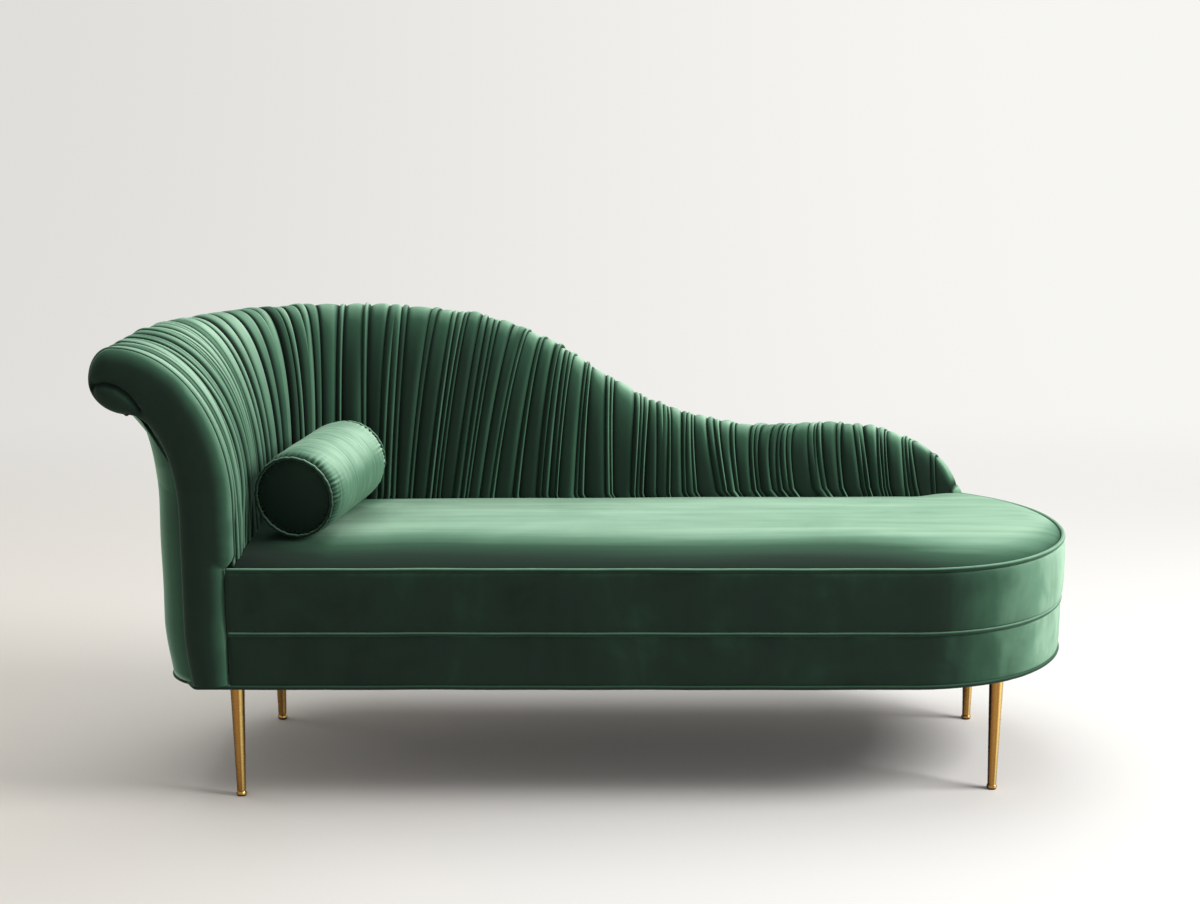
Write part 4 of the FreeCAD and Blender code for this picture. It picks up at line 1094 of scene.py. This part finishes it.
def makeBolsterBody():
    rng = random.Random(bolster["seed"])
    length = bolsterAxes()[4]
    around = 300
    angle = np.linspace(0, 2 * math.pi, around, endpoint=False)[None, :]
    turnIn = np.linspace(0, 1, 6, endpoint=False)
    body = np.linspace(0, 1, 150)
    distance = np.concatenate([0.004 - 0.004 * turnIn, body * length, length - 0.004 + 0.004 * turnIn[::-1]])
    edge = np.minimum(distance, length - distance)
    endRadius = np.where(distance < length / 2, bolster["nearRadius"], bolster["farRadius"])
    profile = endRadius + (bolster["radius"] - endRadius) * (1 - np.exp(-edge / bolster["shoulder"]))
    profile[:6] = bolster["nearRadius"] - 0.006 * (1 - turnIn)
    profile[-6:] = bolster["farRadius"] - 0.006 * (1 - turnIn[::-1])
    distance = distance[:, None]
    edge = edge[:, None]
    pucker = np.zeros((1, around))
    reach = np.zeros((1, around))
    for wave in range(5):
        count = bolster["gathers"] + rng.randint(-14, 14)
        pucker += np.sin(count * angle + rng.uniform(0, 6.28)) / 3
        reach += np.sin(rng.randint(3, 9) * angle + rng.uniform(0, 6.28)) / 5
    fade = np.exp(-edge / (0.012 + 0.006 * reach))
    radius = profile[:, None] + bolster["gatherDepth"] * (pucker - 0.4) * fade
    for crease in range(bolster["creases"]):
        at = rng.uniform(0.10, 0.92) * length
        middle = rng.uniform(-1.5, 1.5)
        spread = rng.uniform(0.35, 0.9)
        tilt = rng.uniform(-0.006, 0.006)
        depth = rng.uniform(0.0004, 0.0011)
        width = rng.uniform(0.0014, 0.0028)
        turned = (angle - middle + math.pi) % (2 * math.pi) - math.pi
        window = np.exp(-(turned / spread) ** 2)
        radius = radius - depth * window * np.exp(-((distance - at - tilt * turned) / width) ** 2)
    angles = angle + 0 * distance
    distances = distance + 0 * angle
    radius = radius + 0.0007 * ripple(bolsterPoints(distances, radius, angles), 45, 9)
    dark = np.exp(-np.maximum(0, distances - 0.004) / 0.014)
    nap = 1 - bolster["gatherShade"] * dark * (1 + 0.35 * pucker)
    return closedLoft("bolsterBody", bolsterPoints(distances, radius, angles), nap)


def makeBolsterEnd(name, atNear):
    length = bolsterAxes()[4]
    around = 160
    angle = np.linspace(0, 2 * math.pi, around, endpoint=False)[None, :]
    out = np.sin(np.linspace(0, math.pi / 2, 26))[::-1][:-1, None]
    way = -1 if atNear else 1
    start = bolster["endSet"] if atNear else length - bolster["endSet"]
    reach = bolster["nearRadius" if atNear else "farRadius"] - 0.003
    rise = bolster["dome"] * (1 - out ** 2) ** 0.75
    pucker = 0.0012 * np.sin(31 * angle + 1.3) * out ** 12 + 0.0008 * np.sin(17 * angle) * out ** 6
    distance = start + way * (rise + pucker)
    radius = out * reach + 0 * angle
    front = bolsterPoints(distance + 0 * angle, radius, angle + 0 * radius)
    tip = bolsterPoints(np.full((1, around), start + way * bolster["dome"]), np.full((1, around), 0.00005),
                        angle)
    back = bolsterPoints(np.full((1, around), start - way * 0.003), np.full((1, around), reach), angle)
    ring = np.concatenate([back, front, tip], axis=0)
    return closedLoft(name, ring)


def makeBolsterCord(name, atNear):
    length = bolsterAxes()[4]
    swing = np.linspace(0, 2 * math.pi, 220, endpoint=False)
    centre = -bolster["cordSet"] if atNear else length + bolster["cordSet"]
    rim = bolster["nearRadius" if atNear else "farRadius"] + 0.0012
    reach = rim + 0.0004 * np.sin(23 * swing) + 0.0003 * np.sin(41 * swing + 1)
    turn = np.linspace(0, 2 * math.pi, 12, endpoint=False)
    distance = centre + bolster["cordRadius"] * np.sin(turn)[None, :] + 0 * swing[:, None]
    radius = reach[:, None] + bolster["cordRadius"] * np.cos(turn)[None, :]
    points = bolsterPoints(distance, radius, swing[:, None] + 0 * radius)
    return makePiece(name, points.reshape(-1, 3), gridFaces(len(swing), len(turn), True, True))


print("bolster")
bolsterBody = makeBolsterBody()
finishPiece(bolsterBody, velvet["bolsterVelvet"], "bolster",
            ["bolster_cover", "bolster_core"])
for atNear, side in ((True, "near"), (False, "far")):
    label = side.capitalize()
    panel = makeBolsterEnd("bolsterEnd" + label, atNear)
    finishPiece(panel, velvet["facingVelvet"], "bolster", ["bolster_end_" + side])
    cord = makeBolsterCord("bolsterCord" + label, atNear)
    finishPiece(cord, velvet["cordVelvet"], "bolster", ["bolster_welt_" + side])


# Turned brass legs, modelled once and copied

legs = {
    "topRadius": 0.0135,
    "footRadius": 0.0080,
    "tipRadius": 0.0100,
    "tipHeight": 0.009,
    "glideHeight": 0.003,
    "sides": 48,
}


def deselectAll():
    for obj in bpy.context.selected_objects:
        obj.select_set(False)


def turnedPiece(name, outline):
    # a ring pulled up in edit mode through (radius, height) steps, closed at both ends
    deselectAll()
    radius, height = outline[0]
    bpy.ops.mesh.primitive_circle_add(vertices=legs["sides"], radius=radius, fill_type="NGON",
                                      location=(0, 0, height))
    piece = bpy.context.active_object
    piece.name = name
    piece.data.name = name
    bpy.ops.object.transform_apply(location=True)
    bpy.ops.object.mode_set(mode="EDIT")
    bpy.ops.mesh.select_all(action="SELECT")
    for nextRadius, nextHeight in outline[1:]:
        bpy.ops.mesh.extrude_region_move(TRANSFORM_OT_translate={"value": (0, 0, nextHeight - height)})
        grow = nextRadius / radius
        bpy.ops.transform.resize(value=(grow, grow, 1), center_override=(0, 0, nextHeight))
        radius = nextRadius
        height = nextHeight
    bpy.ops.mesh.select_all(action="SELECT")
    bpy.ops.mesh.normals_make_consistent(inside=False)
    bpy.ops.object.mode_set(mode="OBJECT")
    bevel = piece.modifiers.new("Bevel", "BEVEL")
    bevel.width = 0.0005
    bevel.segments = 2
    bevel.limit_method = "ANGLE"
    bpy.ops.object.modifier_apply(modifier=bevel.name)
    bpy.ops.object.shade_smooth_by_angle(angle=math.radians(40))
    return piece


def copyTo(pattern, name, x, y):
    mesh = pattern.data.copy()
    mesh.name = name
    mesh.transform(Matrix.Translation((x, y, 0)))
    piece = bpy.data.objects.new(name, mesh)
    bpy.context.scene.collection.objects.link(piece)
    return piece


print("legs")
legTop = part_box("leg_front_head")[1][2]
tip = legs["tipHeight"]
legPattern = turnedPiece("legPattern", [
    (legs["footRadius"], tip), (legs["footRadius"] + 0.0002, tip + 0.004),
    (legs["topRadius"] - 0.0003, legTop - 0.006), (legs["topRadius"], legTop - 0.005),
    (legs["topRadius"], legTop)])
tipPattern = turnedPiece("tipPattern", [
    (legs["tipRadius"] - 0.0008, legs["glideHeight"]), (legs["tipRadius"], legs["glideHeight"] + 0.0006),
    (legs["tipRadius"] - 0.0002, legs["glideHeight"] + 0.0022), (legs["tipRadius"] - 0.0011, tip - 0.0012),
    (legs["footRadius"] + 0.0003, tip)])
for place in ("front_head", "back_head", "front_foot", "back_foot"):
    low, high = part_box("leg_" + place)
    x = (low[0] + high[0]) / 2
    y = (low[1] + high[1]) / 2
    label = place.title().replace("_", "")
    leg = copyTo(legPattern, "leg" + label, x, y)
    finishPiece(leg, brass, "root", ["leg_" + place])
    ferrule = copyTo(tipPattern, "ferrule" + label, x, y)
    finishPiece(ferrule, brass, "root", ["tip_" + place])
bpy.data.objects.remove(legPattern)
bpy.data.objects.remove(tipPattern)


# Frame, springs and fixings carried over from the construction

print("carried-over nodes")
nodeFinish = {
    "front_rail": "frame_timber", "back_rail": "frame_timber", "head_rail": "frame_timber",
    "foot_bow": "plywood", "foot_bow_back": "plywood", "head_bow": "plywood", "cross_rails": "frame_timber",
    "spring_rail": "frame_timber", "leg_blocks": "frame_timber", "leg_plates": "zinc_steel",
    "leg_studs": "zinc_steel", "leg_screws": "zinc_steel", "springs": "spring_wire",
    "spring_clips": "zinc_steel", "spring_ties": "spring_wire", "deck_cloth": "black_cloth",
    "dust_cover": "black_cloth", "back_ribs": "plywood", "crest_rails": "frame_timber",
    "waist_rails": "frame_timber", "outside_panel": "card_panel", "facing_board": "plywood",
    "glide_front_head": "nylon", "glide_back_head": "nylon", "glide_front_foot": "nylon",
    "glide_back_foot": "nylon",
}
for node, finish in nodeFinish.items():
    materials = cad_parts[node].data.materials
    if not materials:
        materials.append(finishes[finish])
    for index in range(len(materials)):
        materials[index] = finishes[finish]


# Floor, light and camera

view = {
    "lens": 60,
    "sensor": 36,
    "place": (0.005, -3.756, 1.419),
    "down": 12.4,
}

backdrop = {"frontY": -9, "bendY": 3.2, "curve": 2.5, "top": 9, "side": 14}

# name: place, aimed at, size, power, colour
lamps = {
    "keyLight": ((3.6, -0.9, 3.0), (0.1, 0, 0.4), (1.8, 1.8), 172, (1.0, .99, .975)),
    "sideLight": ((-3.4, 1.2, 1.3), (-0.7, 0, 0.5), (1.2, 1.6), 11, (1.0, .97, .92)),
    "topLight": ((-0.2, 0.9, 3.6), (0, 0, 0.4), (3.5, 2.5), 58, (1.0, 1.0, 1.0)),
}


def makePaper():
    # pale paper: lit as it is near the object, painted warmer and a little darker towards -X as painted
    # shade, and further back a flat painted glow, darker to the left and brighter to the right
    shader = newShader("palePaper")
    tone = shader.noise(shader.place(), 0.6, 2.0)
    place = shader.add("ShaderNodeTexCoord", output="Object")
    across = shader.ramped(shader.part(place, "X"), -3.0, 2.2)
    # painted shade: the paper is warmer and a little darker towards -X
    warmShadeFade = shader.ramped(shader.part(place, "X"), -1.6, 0.4)
    color = shader.mixColors(warmShadeFade, (.77, .740, .685, 1), (.79, .782, .770, 1))
    color = shader.mixColors(tone * 0.25, color, (.84, .83, .81, 1))
    paper = shader.add("ShaderNodeBsdfDiffuse", None, {"Color": color})
    # painted glow for camera, metal and glass rays, darker to the left and brighter to the right
    tint = shader.mixColors(across, (.745, .730, .705, 1), (.925, .920, .895, 1))
    paintedGlow = shader.add("ShaderNodeEmission", None, {"Color": tint, "Strength": 1.0})
    far = shader.ramped(shader.part(place, "Y"), 0.2, 3.4)
    return shader.show(shader.add("ShaderNodeMixShader", None, {0: far * shader.seen(), 1: paper, 2: paintedGlow}))


def makeBackdrop():
    # floor that sweeps up into the wall behind
    bendY = backdrop["bendY"]
    curve = backdrop["curve"]
    profile = [(y, 0.0) for y in np.linspace(backdrop["frontY"], bendY, 30)]
    profile += arcPoints(bendY, curve, curve, -90, 0, 24)[1:]
    profile += [(bendY + curve, z) for z in np.linspace(curve, backdrop["top"], 12)[1:]]
    points = [(x, y, z) for x in (-backdrop["side"], backdrop["side"]) for y, z in profile]
    count = len(profile)
    faces = [(i, i + 1, count + i + 1, count + i) for i in range(count - 1)]
    mesh = bpy.data.meshes.new("backdrop")
    mesh.from_pydata(points, [], faces)
    piece = bpy.data.objects.new("backdrop", mesh)
    bpy.context.scene.collection.objects.link(piece)
    for polygon in mesh.polygons:
        polygon.use_smooth = True
    mesh.materials.append(makePaper())


def addArea(name, place, target, size, energy, color):
    light = bpy.data.lights.new(name, "AREA")
    light.shape = "RECTANGLE"
    light.size = size[0]
    light.size_y = size[1]
    light.energy = energy
    light.color = color
    lamp = bpy.data.objects.new(name, light)
    lamp.location = place
    lamp.rotation_euler = (Vector(target) - Vector(place)).to_track_quat("-Z", "Y").to_euler()
    bpy.context.scene.collection.objects.link(lamp)


print("studio")
makeBackdrop()
for name, settings in lamps.items():
    addArea(name, *settings)

sky = Shader(bpy.data.worlds.new("studio"))
ambient = sky.add("ShaderNodeBackground", None, {"Color": (1.0, .985, .96, 1), "Strength": 0.42})
white = sky.add("ShaderNodeBackground", None, {"Color": (.92, .915, .905, 1), "Strength": 1.0})
mixed = sky.add("ShaderNodeMixShader", None, {0: sky.seen(), 1: ambient, 2: white})
bpy.context.scene.world = sky.show(mixed, "ShaderNodeOutputWorld")

camera = bpy.data.cameras.new("camera")
camera.lens = view["lens"]
camera.sensor_width = view["sensor"]
camera.clip_end = 60
cameraObject = bpy.data.objects.new("camera", camera)
cameraObject.location = view["place"]
cameraObject.rotation_euler = (math.radians(90 - view["down"]), 0, 0)
bpy.context.scene.collection.objects.link(cameraObject)
bpy.context.scene.camera = cameraObject
bpy.context.scene.view_settings.view_transform = "Standard"
